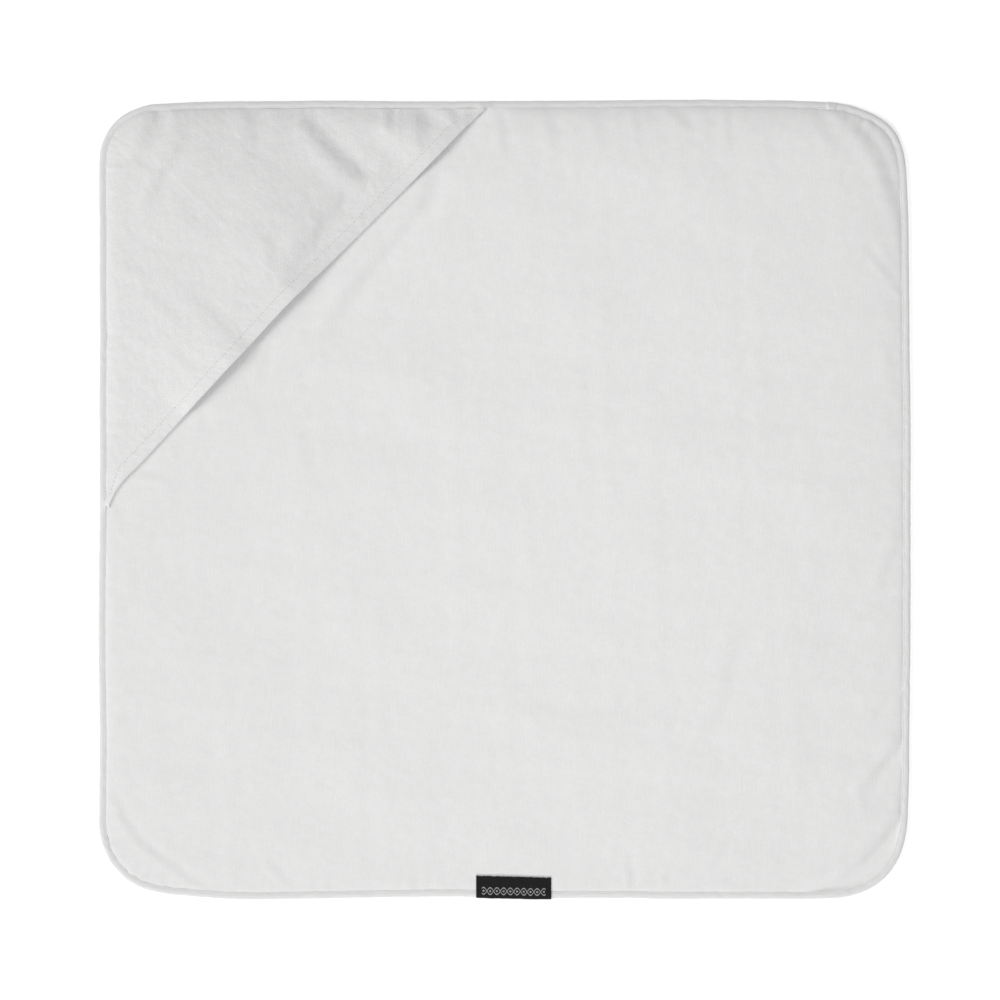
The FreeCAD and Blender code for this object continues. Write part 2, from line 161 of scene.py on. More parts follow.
def on_design(s):
    """Points and outward directions on the plain outline, at distances s."""
    s = np.mod(np.asarray(s, float), ROUND)
    place, out = np.zeros(s.shape + (2,)), np.zeros(s.shape + (2,))
    for i, r in enumerate(RUNS):
        m = (s >= STARTS[i]) & (s < STARTS[i + 1])
        if not m.any():
            continue
        d = s[m] - STARTS[i]
        if r[0] == "line":
            p, q = np.array(r[1]), np.array(r[2])
            place[m] = p + (q - p) * (d / run_length(r))[:, None]
            out[m] = r[3]
        else:
            a = math.radians(r[3]) - d / r[2]
            out[m] = np.stack([np.cos(a), np.sin(a)], -1)
            place[m] = np.array(r[1]) + out[m] * r[2]
    return place, out


S_DENSE = np.arange(0, ROUND, 1.0)
_p, _n = on_design(S_DENSE)
_off = curve_through(EDGE_WAVES, S_DENSE, ROUND) + 0.13 * fine_edge(S_DENSE)
_off = _off + (0.13 * fine_edge(S_DENSE - ROUND) - 0.13 * fine_edge(S_DENSE)) * smooth(S_DENSE, ROUND - 60, ROUND)
EDGE = _p + _n * _off[:, None]
_t = np.roll(EDGE, -1, 0) - np.roll(EDGE, 1, 0)
for _ in range(12):
    _t = (np.roll(_t, 1, 0) + 2 * _t + np.roll(_t, -1, 0)) / 4
_t /= np.linalg.norm(_t, axis=1)[:, None]
EDGE_OUT = np.stack([-_t[:, 1], _t[:, 0]], -1)          # clockwise travel, so outward is to the left
_step = np.linalg.norm(np.roll(EDGE, -1, 0) - EDGE, axis=1)


def _ring(values, s):
    f = np.mod(np.asarray(s, float), ROUND) / ROUND * len(S_DENSE) * (ROUND / len(S_DENSE))
    i = np.floor(f).astype(int)
    t = (f - i)[..., None] if values.ndim > 1 else f - i
    i = i % len(S_DENSE)
    j = (i + 1) % len(S_DENSE)
    last = (i == len(S_DENSE) - 1)
    span = ROUND - S_DENSE[-1]
    if np.ndim(last):
        tt = np.where(last[..., None] if values.ndim > 1 else last, t / span, t)
    else:
        tt = t / span if last else t
    return values[i] * (1 - tt) + values[j] * tt


def edge_at(s, inward=0.0):
    """Points on the towel's edge at distances s, moved inward."""
    return _ring(EDGE, s) - _ring(EDGE_OUT, s) * np.asarray(inward)[..., None]


def from_edge(x, y):
    """How far each point is inside the edge, and where along the edge it is nearest."""
    x, y = np.asarray(x, float), np.asarray(y, float)
    flat = np.stack([x.ravel(), y.ravel()], -1)
    depth, where = np.empty(len(flat)), np.empty(len(flat))
    e = EDGE[::2]
    e2 = (e**2).sum(1)
    for i in range(0, len(flat), 8000):
        q = flat[i:i + 8000]
        d2 = (q**2).sum(1)[:, None] - 2 * q @ e.T + e2
        k = d2.argmin(1)
        depth[i:i + 8000] = ((e[k] - q) * EDGE_OUT[::2][k]).sum(1)
        where[i:i + 8000] = S_DENSE[::2][k] + ((q - e[k]) * np.stack([EDGE_OUT[::2][k][:, 1], -EDGE_OUT[::2][k][:, 0]], -1)).sum(1)
    return depth.reshape(x.shape), where.reshape(x.shape)


def place_of(x, y):
    """The distance along the edge nearest to one point."""
    return float(from_edge(np.array([x]), np.array([y]))[1][0])


S_B = place_of(-375, -4.5)      # where the hood's mouth meets the left side
S_A = place_of(-15.5, 368.5)    # and the top


def in_hood_zone(s):
    """1 where the binding also holds the hood, 0 where it holds one cloth only."""
    s = np.mod(np.asarray(s, float), ROUND)
    return np.where(s > ROUND / 2, smooth(s, S_B - 7, S_B + 7), 1 - smooth(s, S_A - 7, S_A + 7))


def top_lift(s):
    """How far the cloth stands off the floor just inside the binding, along the top side."""
    s = np.mod(np.asarray(s, float), ROUND)
    s = np.where(s > ROUND / 2, s - ROUND, s)
    return 1.0 * smooth(s, -60, 25) * (1 - smooth(s, STARTS[1] - 30, STARTS[1] + 75))


# ---------------------------------------------------------------------------
# Soft folds and creases. Each is a line of points, a width and a height. A fold
# steps down across its line, towards the left of travel; a valley dips along it.
# ---------------------------------------------------------------------------
def to_line(x, y, points, reach):
    """Signed distance to a line of points (positive to the left of travel) and the share along it."""
    p = np.array(points, float)
    inside = ((x > p[:, 0].min() - reach) & (x < p[:, 0].max() + reach)
              & (y > p[:, 1].min() - reach) & (y < p[:, 1].max() + reach))
    qx, qy = x[inside], y[inside]
    best = np.full(qx.shape, 1e9)
    share, side = np.zeros(qx.shape), np.ones(qx.shape)
    steps = np.linalg.norm(np.diff(p, axis=0), axis=1)
    total, run = steps.sum(), 0.0
    for a, b, length in zip(p[:-1], p[1:], steps):
        e = (b - a) / length
        t = np.clip((qx - a[0]) * e[0] + (qy - a[1]) * e[1], 0, length)
        dx, dy = qx - a[0] - t * e[0], qy - a[1] - t * e[1]
        d = np.hypot(dx, dy)
        m = d < best
        best = np.where(m, d, best)
        share = np.where(m, (run + t) / total, share)
        side = np.where(m, np.sign(e[0] * dy - e[1] * dx), side)
        run += length
    return inside, best * side, share


def fold(x, y, points, width, height):
    z = np.zeros(x.shape)
    inside, q, share = to_line(x, y, points, 3.2 * width)
    if inside.any():
        z[inside] = -height * (q / width) * np.exp(-(q / width) ** 2) * np.sin(math.pi * share) ** 0.5
    return z


def valley(x, y, points, width, height):
    z = np.zeros(x.shape)
    inside, q, share = to_line(x, y, points, 3.2 * width)
    if inside.any():
        z[inside] = height * np.exp(-(q / width) ** 2) * np.sin(math.pi * share) ** 0.5
    return z


HOOD_FOLDS = [
    ([(-322.0, 363.7), (-324.8, 348.9), (-330.3, 336.0), (-336.8, 324.0), (-344.2, 313.8)], 11, 3.0),
    ([(-290.6, 343.4), (-303.5, 316.6), (-319.2, 293.5), (-328.5, 276.9), (-334.0, 263.9)], 9, 2.0),
    ([(-236.1, 363.7), (-234.2, 348.9), (-234.2, 332.3), (-237.0, 315.7)], 10, 1.5),
    ([(-186.2, 352.6), (-177.9, 341.6), (-167.7, 330.5), (-156.6, 318.5), (-142.8, 306.4), (-124.3, 294.4)], 13, 3.4),
    ([(-128.0, 295.4), (-146.5, 282.4), (-163.1, 263.9), (-176.9, 243.6), (-192.7, 223.3), (-207.4, 203.0)], 15, 3.4),
    ([(-167.7, 258.4), (-173.2, 247.3), (-178.8, 234.4)], 6, 1.1),
    ([(-148.3, 286.1), (-152.0, 273.2), (-161.2, 262.1)], 6, 0.8),
    ([(-106.7, 363.7), (-105.8, 352.6), (-107.6, 337.9)], 6, 1.2),
    ([(-81.8, 363.7), (-75.3, 345.3), (-77.2, 323.1)], 10, 1.8),
    ([(-51.3, 363.7), (-48.5, 356.3), (-45.7, 347.1)], 9, 2.2),
    ([(-28.2, 362.8), (-33.7, 352.6), (-43.0, 340.6)], 12, 2.4),
    ([(-361.7, 220.5), (-341.4, 215.0), (-322.0, 204.8)], 8, 0.7),
    ([(-290.6, 188.2), (-270.3, 169.7), (-257.3, 153.1)], 9, 0.55),
    ([(-310.9, 140.1), (-295.2, 129.0), (-281.4, 114.3)], 9, 0.55),
    ([(-334.9, 195.6), (-318.3, 184.5), (-298.0, 164.1)], 8, 0.5),
    ([(-122.4, 348.9), (-105.8, 329.5), (-83.6, 312.0)], 14, -1.5),
    ([(-310.9, 363.7), (-309.1, 348.9), (-312.8, 332.3)], 8, -0.8),
    ([(-368.2, 323.1), (-368.2, 230.7), (-367.3, 138.3), (-366.4, 55.1)], 12, -0.5),
    ([(-214.8, 267.6), (-204.7, 247.3), (-196.4, 219.6)], 9, -0.4),
    ([(-224.1, 247.3), (-216.7, 228.8), (-214.8, 203.0)], 8, 0.6),
    ([(-189.0, 358.2), (-183.4, 348.9), (-174.2, 341.6)], 9, 0.9),
    ([(-218.5, 361.9), (-214.8, 347.1), (-218.5, 330.5)], 8, -0.5),
]
TOWEL_FOLDS = [
    ([(-61.4, 304.6), (-78.1, 267.6), (-105.8, 235.3), (-130.7, 207.6), (-149.2, 182.6), (-165.9, 156.8)], 11, 4.2),
    ([(-217.6, 146.6), (-221.3, 129.0), (-227.8, 110.6)], 5, 0.72),
    ([(-262.9, 95.8), (-255.5, 75.4), (-250.9, 51.4)], 5, 0.18),
    ([(-284.1, 86.5), (-279.5, 73.6), (-277.7, 58.8)], 5, 0.28),
    ([(-365.4, -0.3), (-356.2, -13.3), (-350.7, -37.3)], 6, 0.36),
    ([(-340.5, 25.5), (-327.6, 21.9), (-310.9, 20.0)], 6, 0.84),
    ([(-370.1, -52.1), (-357.1, -66.9), (-362.7, -85.3)], 5, 0.29),
    ([(-349.7, -52.1), (-340.5, -74.2), (-344.2, -92.7)], 6, 0.2),
    ([(-6.9, 363.7), (-2.3, 341.6), (1.4, 313.8)], 6.5, 0.84),
    ([(34.6, 363.7), (43.0, 341.6), (49.4, 317.5)], 9, 0.78),
    ([(79.0, 363.7), (86.4, 348.9), (90.1, 330.5)], 10, 0.65),
    ([(119.7, 363.7), (123.4, 343.4), (125.2, 321.2)], 4.5, 0.5),
    ([(147.4, 365.6), (160.3, 353.6), (173.2, 340.6)], 8, 0.7),
    ([(183.4, 363.7), (186.2, 348.9), (188.0, 328.6)], 7, 0.35),
    ([(205.6, 363.7), (207.4, 341.6), (206.5, 318.5)], 4.8, 0.55),
    ([(236.1, 345.3), (245.3, 323.1), (250.9, 293.5)], 7, 0.35),
    ([(282.3, 362.8), (295.2, 343.4), (306.3, 317.5)], 9, 0.8),
    ([(304.5, 363.7), (315.5, 351.7), (328.5, 337.9), (338.6, 323.1), (347.0, 308.3), (356.2, 286.1), (364.5, 262.1), (369.1, 232.5)], 8.5, 1.35),
    ([(319.2, 347.1), (335.9, 334.2), (348.8, 315.7), (356.2, 291.7)], 4.5, 0.25),
    ([(330.3, 236.2), (347.0, 215.9), (359.9, 199.3), (370.1, 186.3)], 5, 0.66),
    ([(366.4, -31.7), (355.3, -55.8), (345.1, -85.3)], 7, 1.1),
    ([(368.2, -222.1), (350.7, -246.1), (324.8, -273.8)], 9, 2.4),
    ([(372.8, -283.1), (350.7, -314.5), (329.4, -336.7), (306.3, -353.3), (278.6, -364.4)], 10, 3.4),
    ([(302.6, -340.4), (289.7, -353.3), (273.0, -366.2)], 6, 0.7),
    ([(115.0, -327.4), (116.0, -345.9), (116.0, -364.4)], 4, 0.83),
    ([(145.5, -334.8), (150.2, -347.7), (149.2, -362.5)], 4, 0.36),
    ([(206.5, -320.0), (188.0, -340.4), (176.9, -357.0)], 5, 0.56),
    ([(-150.2, -321.9), (-160.3, -342.2), (-163.1, -362.5)], 5, 0.26),
    ([(-87.3, -325.6), (-83.6, -344.1), (-84.5, -362.5)], 5, 0.36),
    ([(-222.2, -329.3), (-207.4, -345.9), (-194.5, -362.5)], 5, 0.45),
    ([(-30.0, -329.3), (-43.9, -347.7), (-49.4, -360.7)], 5, 0.33),
    ([(-364.5, -264.6), (-352.5, -294.2), (-336.8, -316.3), (-316.5, -333.0), (-296.1, -347.7), (-268.4, -364.4)], 6, 0.85),
    ([(249.0, -90.9), (219.5, -122.3), (206.5, -152.8), (201.0, -185.1), (182.5, -229.5)], 12, 0.84),
    ([(14.3, 23.7), (21.7, -9.6), (29.1, -59.5)], 7, 0.26),
    ([(-6.0, 61.6), (23.6, 57.0), (64.2, 49.6)], 6, 0.33),
    ([(-189.0, 68.1), (-180.6, 29.2), (-166.8, 5.2)], 10, 0.39),
    ([(278.6, -175.9), (284.1, -212.8), (273.0, -268.3)], 14, 0.45),
    ([(345.1, -129.7), (347.0, -157.4), (339.6, -185.1)], 9, 0.3),
    ([(350.7, 92.1), (354.4, 64.4), (350.7, 36.6)], 9, 0.35),
    ([(347.0, 156.8), (356.2, 129.0), (358.1, 101.3)], 8, 0.3),
]
TOWEL_VALLEYS = [
    ([(371.0, 43.1), (350.7, 33.9), (328.5, 18.2)], 4.5, -0.77),
    ([(371.9, -82.6), (348.8, -94.6), (326.6, -110.3)], 4.5, -0.84),
    ([(371.9, -172.2), (357.1, -183.3), (340.5, -199.9)], 4, -0.84),
    ([(370.1, -223.9), (352.5, -244.3), (330.3, -268.3)], 4.5, -0.84),
    ([(371.0, -294.2), (350.7, -318.2), (328.5, -340.4), (304.5, -357.0), (284.1, -366.2)], 6, -1.1),
    ([(322.9, 350.8), (339.6, 337.9), (352.5, 317.5), (359.0, 291.7)], 3.5, -0.22),
    ([(10.6, -320.0), (6.9, -331.1), (3.2, -340.4)], 6, -0.35),
]

towel_roll = waves(3, 22, 70, 260)
towel_small = waves(5, 30, 12, 45)
nap = waves(8, 40, 7.5, 16)
hood_roll = waves(21, 22, 50, 160)
hood_small = waves(23, 34, 13, 40)
hood_nap = waves(27, 40, 6.0, 14)
pucker_a, pucker_b = waves_1d(31, 26, 7, 15), waves_1d(37, 18, 40, 160)


def puckers(s, depth):
    """Small folds that run in from the stitched binding."""
    strength = np.clip(0.55 + 0.8 * pucker_b(s), 0.12, 1.4)
    corner = np.zeros(np.shape(s))
    for i in (1, 3, 5, 7):
        corner = corner + bell(np.mod(s, ROUND), 0.5 * (STARTS[i] + STARTS[i + 1]), 55)
    reach = 9 + 9 * corner + 5 * np.clip(pucker_b(s + 900), 0, 1)
    return pucker_a(s) * strength * (0.20 + 0.16 * corner) * np.exp(-np.clip(depth - TAPE, 0, None) / reach) * smooth(depth, 5.0, 8.5)


# ---------------------------------------------------------------------------
# Where the hood is, in its own directions: a towards the mouth, b along it.
# ---------------------------------------------------------------------------
MOUTH = [(-262, 243.5), (-259.3, 242.2), (-254.3, 239.9), (-246, 237.0), (-234.8, 234.6), (-215, 234.4), (-195.9, 233.9),
         (-165, 232.7), (-138.4, 231.6), (-104.4, 230.3), (-74.4, 229.4), (-40.4, 228.0), (-6.4, 226.9), (37.3, 228.2),
         (80, 228.6), (116.1, 228.7), (161, 228.8), (190, 228.6), (212.6, 228.2), (235, 228.9), (249.5, 229.4)]
# how far the mouth stands up from the towel, beyond the cloth's own thickness
LIFT = [(-262, 0.0), (-240, 0.5), (-225, 0.3), (-205, 0.2), (-180, 0.2), (-160, 0.5), (-149, 1.3), (-140, 3.1), (-126, 4.8),
        (-112, 5.8), (-98, 6.3), (-84, 7.0), (-72, 6.4), (-60, 4.7), (-42, 4.6), (-28, 4.8), (-14, 5.5), (0, 6.1), (12, 5.0),
        (24, 3.5), (36, 2.4), (48, 1.5), (62, 0.8), (80, 0.35), (110, 0.2), (140, 0.1), (158, 0.1), (168, 0.3), (180, 0.6),
        (192, 0.7), (204, 0.85), (214, 1.0), (224, 1.1), (234, 0.8), (243, 0.5), (249.5, 0.0)]


def hood_ab(x, y):
    dx, dy = np.asarray(x) - K[0], np.asarray(y) - K[1]
    return dx * INTO[0] + dy * INTO[1], dx * ALONG[0] + dy * ALONG[1]


def mouth_at(b):
    return curve_through(MOUTH, b) + 0.8 * (1 - smooth(b, 0, 30)) - 0.6 * smooth(b, 205, 228)


def seam_at(b):
    """Where the seam lines are, at b along the mouth."""
    return np.abs(b) * (INTO @ U_A) / (ALONG @ U_A)


HEM = 13.0


def hem_wide(b):
    return np.minimum(HEM, 0.45 * np.clip(mouth_at(b) - seam_at(b), 0.5, None))


hem_long = waves_1d(41, 14, 24, 80)
hem_tiny = waves_1d(43, 20, 3.8, 7.5)


def hood_top(x, y, depth, s):
    """Height of the hood's face."""
    a, b = hood_ab(x, y)
    m = mouth_at(b)
    to_mouth = m - a
    room = np.clip(m - seam_at(b), 1.0, None)
    full = smooth(room, 6, 26)
    # the cloth rises from the stitched edge, with some air under it
    past = np.clip(depth - TAPE, 0, None)
    inside = smooth(to_mouth, 3, 55)
    z = 4.05 + 0.65 * (1 - np.exp(-past / 3.0)) * (0.35 + 0.65 * inside) + (2.3 * (1 - np.exp(-past / 20))) * inside
    # two broad swells, one across the middle and one towards the upper end
    z = z + 3.0 * bell(b, 55, 82) * (1 - np.exp(-past / 20)) * inside
    z = z + 2.8 * bell(b, 186, 30) * smooth(depth, 6.5, 30) * full
    z = z + 0.55 * hood_roll(x, y) * smooth(depth, 8, 60) * inside
    z = z + 0.13 * hood_small(x, y) * smooth(depth, 6, 26) * smooth(to_mouth, 10, 26)
    # the folded hem below lifts the face, and its seam pulls it down again
    z = z + 1.25 * (1 - smooth(to_mouth, HEM - 1.0, HEM + 6.0)) * full
    stitch = hem_wide(b) * (11.6 / HEM)
    z = z - 0.22 * bell(to_mouth, stitch, 1.4) * full
    z = z + 0.16 * bell(to_mouth, stitch * 0.5, 3.6) * (1 + 0.5 * hem_long(b)) * full
    slant = b + 0.75 * to_mouth
    z = z + 0.09 * hem_tiny(slant) * (1 - smooth(to_mouth, stitch + 1, stitch + 9)) * smooth(to_mouth, 0.5, 4) * full
    # the mouth stands open over its lower half
    lift = curve_through(LIFT, b)
    reach = np.clip(0.62 * room, 8, 110)
    z = z + lift * np.clip(1 - to_mouth / reach, 0, 1) ** 1.7
    for points, width, height in HOOD_FOLDS:
        z = z + fold(x, y, points, width, height) * smooth(depth, 5, 9) * smooth(to_mouth, 4, 16)
    # held down beside the binding
    z = z - 0.26 * (1 - smooth(depth, 6.0, 7.8))
    z = z + top_lift(s) * np.exp(-past / 40) * smooth(depth, 5.6, 6.8)
    z = z + puckers(s, depth) * 1.5
    z = z + 0.07 * hood_nap(x, y) * smooth(depth, 6, 9)
    floor_z = 3.98 - 0.24 * (1 - smooth(depth, 6.0, 7.8))
    over = z - floor_z
    return floor_z + 0.5 * (over + np.sqrt(over**2 + 0.09)) - 0.10 * np.exp(-np.clip(over, 0, None))


def towel_top(x, y, depth, s):
    """Height of the towel's face, and how far its back is off the floor."""
    a, b = hood_ab(x, y)
    to_mouth = mouth_at(b) - a
    free = 1 - smooth(to_mouth, -34, 2)                  # 0 where the hood lies over the towel
    past = np.clip(depth - TAPE, 0, None)
    lower = 1 - smooth(y + HALF_Y, 15, 170)
    puff = ((1.05 * (1 - np.exp(-past / 8)) + 0.25 * (1 - np.exp(-past / 1.2))) * (1 - 0.85 * lower)
            + 4.1 * (1 - np.exp(-past / 19)) * np.exp(-((HALF_Y - y) / 120) ** 2)) * free
    rise = np.clip(0.35 + 0.50 * towel_roll(x, y), 0, None) * smooth(depth, 10, 60)
    rise = rise + 0.14 * (1 + towel_small(x, y)) * smooth(depth, 6.0, 13.0)
    near = 1 - smooth(to_mouth, -8, 1)
    rise = rise * near
    z = 2.5 + puff + rise
    for points, width, height in TOWEL_FOLDS:
        z = z + fold(x, y, points, width, height) * smooth(depth, 5.5, 9.5) * near
    for points, width, height in TOWEL_VALLEYS:
        z = z + valley(x, y, points, width, height) * smooth(depth, 5.5, 8.5) * near
    z = z - 0.12 + 0.24 * smooth(depth, 6.25, 8.2) + top_lift(s) * np.exp(-past / 40)
    z = z + puckers(s, depth) * (0.2 + 0.8 * near)
    z = z + 0.035 * nap(x, y) * smooth(depth, 6, 9) * near
    z = np.where(to_mouth > -3, np.minimum(z, 2.54 + 1.2 * smooth(-to_mouth, -1, 3)), z)
    z = np.where(depth < 6.3, np.minimum(z, 2.34), np.maximum(z, 1.3))
    return z, rise + 0.3 * puff


# ---------------------------------------------------------------------------
# Meshes
# ---------------------------------------------------------------------------
def make_piece(name, points, faces, flat=None, sharp=None):
    me = bpy.data.meshes.new(name)
    me.from_pydata((np.asarray(points, float) * MM).tolist(), [], faces)
    me.polygons.foreach_set("use_smooth", [True] * len(me.polygons))
    if flat is not None:
        uv = me.uv_layers.new(name="cloth")
        index = np.zeros(len(me.loops), np.int32)
        me.loops.foreach_get("vertex_index", index)
        uv.data.foreach_set("uv", np.asarray(flat, np.float32)[index].ravel())
    if sharp is not None:
        keys = np.zeros(len(me.edges) * 2, np.int32)
        me.edges.foreach_get("vertices", keys)
        keys = keys.reshape(-1, 2)
        mark = sharp(keys)
        attribute = me.attributes.get("sharp_edge") or me.attributes.new("sharp_edge", "BOOLEAN", "EDGE")
        attribute.data.foreach_set("value", mark)
    me.update()
    ob = bpy.data.objects.new(name, me)
    bpy.context.collection.objects.link(ob)
    return ob


def grid_faces(rows, cols, start=0, flip=False):
    i, j = np.meshgrid(np.arange(rows - 1), np.arange(cols - 1), indexing="ij")
    a = start + i * cols + j
    q = np.stack([a, a + 1, a + cols + 1, a + cols], -1).reshape(-1, 4)
    return (q[:, ::-1] if flip else q).tolist()


def loop_sweep(sections, closed_path):
    """Faces of a tube: sections is how many rings and how many points each has."""
    n, m = sections
    i = np.arange(n if closed_path else n - 1)
    j = np.arange(m)
    ii, jj = np.meshgrid(i, j, indexing="ij")
    a, b = ii * m + jj, ii * m + (jj + 1) % m
    c, d = ((ii + 1) % n) * m + (jj + 1) % m, ((ii + 1) % n) * m + jj
    faces = np.stack([a, b, c, d], -1).reshape(-1, 4).tolist()
    if not closed_path:
        faces.append(list(range(m))[::-1])
        faces.append([(n - 1) * m + k for k in range(m)])
    return faces


def face_outward(ob):
    """Turns every face of a closed piece outward."""
    import bmesh
    bm = bmesh.new()
    bm.from_mesh(ob.data)
    bmesh.ops.recalc_face_normals(bm, faces=bm.faces)
    bm.to_mesh(ob.data)
    bm.free()


# --- the towel's cloth -----------------------------------------------------
NX, NY = 252, 248                       # both even
corner_s = [ROUND - 0.5 * run_length(RUNS[7]), STARTS[1] + 0.5 * run_length(RUNS[1]),
            STARTS[3] + 0.5 * run_length(RUNS[3]), STARTS[5] + 0.5 * run_length(RUNS[5])]
CLOTH_IN = 1.0


def shares(n, length):
    """Shares along a side, closer together at both ends, where the binding's seam is."""
    near = np.array([0, 2.6, 4.9, 5.5, 6.0, 6.7, 7.7, 9.0, 10.8, 13.2, 16.0]) / length
    middle = np.linspace(near[-1], 1 - near[-1], n + 1 - 2 * (len(near) - 1))
    return np.concatenate([near[:-1], middle, (1 - near[::-1])[1:]])


u, v = shares(NX, 2 * HALF_X), shares(NY, 2 * HALF_Y)
top_line = edge_at((corner_s[0] - ROUND) + u * (corner_s[1] - corner_s[0] + ROUND), CLOTH_IN + 0 * u)
right_line = edge_at(corner_s[1] + v * (corner_s[2] - corner_s[1]), CLOTH_IN + 0 * v)
bottom_line = edge_at(corner_s[3] + u * (corner_s[2] - corner_s[3]), CLOTH_IN + 0 * u)
left_line = edge_at(corner_s[0] + v * (corner_s[3] - corner_s[0]), CLOTH_IN + 0 * v)
U, V = u[None, :, None], v[:, None, None]
TLc, TRc, BLc, BRc = top_line[0], top_line[-1], bottom_line[0], bottom_line[-1]
sheet_xy = ((1 - V) * top_line[None] + V * bottom_line[None] + (1 - U) * left_line[:, None] + U * right_line[:, None]
            - ((1 - U) * (1 - V) * TLc + U * (1 - V) * TRc + (1 - U) * V * BLc + U * V * BRc))
sx, sy = sheet_xy[..., 0], sheet_xy[..., 1]
sd, ss = from_edge(sx, sy)
sz, srise = towel_top(sx, sy, sd, ss)
top_points = np.stack([sx, sy, sz], -1).reshape(-1, 3)
bx, by, bd, bs = sx[::2, ::2], sy[::2, ::2], sd[::2, ::2], ss[::2, ::2]
bz = 0.12 + 0.9 * srise[::2, ::2] + 0.05 * (1 + nap(bx + 31, by)) + 0.55 * (1 - smooth(bd, 5.4, 9.0))
bz = np.minimum(bz, sz[::2, ::2] - 0.9)
back_points = np.stack([bx, by, bz], -1).reshape(-1, 3)
n_top = len(top_points)
cols, bcols = NX + 1, NX // 2 + 1
faces = grid_faces(NY + 1, NX + 1, 0, flip=True) + grid_faces(NY // 2 + 1, bcols, n_top)


def rim(top_ids, back_ids, flip):
    made = []
    for k in range(len(back_ids) - 1):
        t0, t1, t2 = top_ids[2 * k], top_ids[2 * k + 1], top_ids[2 * k + 2]
        b0, b1 = back_ids[k], back_ids[k + 1]
        tri = [[t0, t1, b0], [t1, b1, b0], [t1, t2, b1]]
        made += [f[::-1] for f in tri] if flip else tri
    return made


faces += rim(list(range(0, cols)), [n_top + k for k in range(bcols)], False)
faces += rim([NY * cols + k for k in range(cols)], [n_top + (NY // 2) * bcols + k for k in range(bcols)], True)
faces += rim([k * cols for k in range(NY + 1)], [n_top + k * bcols for k in range(NY // 2 + 1)], True)
faces += rim([k * cols + NX for k in range(NY + 1)], [n_top + k * bcols + bcols - 1 for k in range(NY // 2 + 1)], False)
all_points = np.concatenate([top_points, back_points])
towel = make_piece("towel-cloth", all_points, faces, flat=all_points[:, :2] * MM)
face_outward(towel)

# --- the binding -----------------------------------------------------------
# its section: distance in from the edge, and height; the upper leaf comes first
SECTION = np.array([
    (6.5, 2.42), (6.68, 2.54), (6.5, 2.66), (6.1, 2.70), (5.6, 2.58), (5.1, 2.72), (4.3, 2.90), (3.2, 2.93), (2.1, 2.84),
    (1.1, 2.66), (0.45, 2.34),
    (0.12, 1.9), (0.0, 1.4), (0.12, 0.9), (0.5, 0.45), (1.2, 0.16), (2.2, 0.04), (3.6, 0.0), (5.2, 0.02), (6.2, 0.08),
    (6.5, 0.26), (6.2, 0.44), (4.8, 0.56), (2.6, 0.62), (1.25, 0.95), (0.95, 1.5), (1.25, 2.05), (2.6, 2.36), (4.8, 2.4),
])
roll_wave, roll_tight, width_wave = waves_1d(51, 22, 6, 14), waves_1d(53, 18, 30, 110), waves_1d(57, 20, 14, 70)


def binding_ring(s, section=SECTION):
    """Rings of the binding's section at distances s along the edge."""
    s = np.asarray(s, float)
    hood = in_hood_zone(s)[:, None]
    d, z = section[None, :, 0], section[None, :, 1]
    upper = smooth(z, 1.0, 2.25) * np.ones((len(s), 1))
    wave = (roll_wave(s) * np.clip(0.6 + 0.6 * roll_tight(s), 0.15, 1.3))[:, None]
    d = d * (1 + 0.035 * width_wave(s)[:, None] + 0.018 * wave)
    face = smooth(section[None, :, 1], 2.5, 2.8)
    z = z + hood * 1.45 * upper + face * 0.17 * wave * bell(section[None, :, 0], 4.0, 3.2)
    z = z + top_lift(s)[:, None] * upper * np.clip(section[None, :, 0] / TAPE, 0, 1)
    rings = edge_at(np.repeat(s[:, None], d.shape[1], 1), d)
    return np.concatenate([rings, z[..., None]], -1)


s_bind = np.linspace(0, ROUND, 1620, endpoint=False)
rings = binding_ring(s_bind)
points = rings.reshape(-1, 3)
lengths = np.concatenate([[0], np.cumsum(np.linalg.norm(np.diff(SECTION, axis=0), axis=1))])
flat = np.stack([np.repeat(s_bind, len(SECTION)), np.tile(lengths, len(s_bind))], -1) * MM
binding = make_piece("edge-binding-tape", points, loop_sweep(rings.shape[:2], True), flat=flat)
face_outward(binding)

# the tape's end, turned under and lapped over its start
LAP_S = place_of(302.5, 369)
lap_section = np.array([
    (6.3, 2.95), (6.45, 3.1), (6.0, 3.22), (4.8, 3.36), (3.4, 3.40), (2.2, 3.32), (1.1, 3.08), (0.25, 2.7), (-0.3, 2.1),
    (-0.42, 1.4), (-0.3, 0.8), (0.1, 0.3), (0.8, 0.02), (2.0, -0.06), (3.0, -0.04), (3.0, 0.2), (1.6, 0.3), (0.6, 0.7),
    (0.3, 1.4), (0.5, 2.1), (1.3, 2.7), (2.4, 2.95), (3.6, 3.05), (5.0, 2.98),
])
s_lap = LAP_S + np.linspace(-4.6, 4.6, 20)
lap_rings = binding_ring(s_lap, section=lap_section)
squeeze = 1 - 0.85 * np.abs(np.linspace(-1, 1, 20)) ** 6      # the ends are pressed flat
under = lap_rings.copy()
under[..., 2] = np.where(lap_section[None, :, 1] > 2.4, np.minimum(lap_rings[..., 2], 3.1), lap_rings[..., 2])
lap_rings = under + (lap_rings - under) * squeeze[:, None, None]
lap = make_piece("binding-lap", lap_rings.reshape(-1, 3), loop_sweep(lap_rings.shape[:2], False),
                 flat=np.stack([np.repeat(s_lap, len(lap_section)), np.tile(np.arange(len(lap_section)) * 0.9, len(s_lap))], -1) * MM)
face_outward(lap)


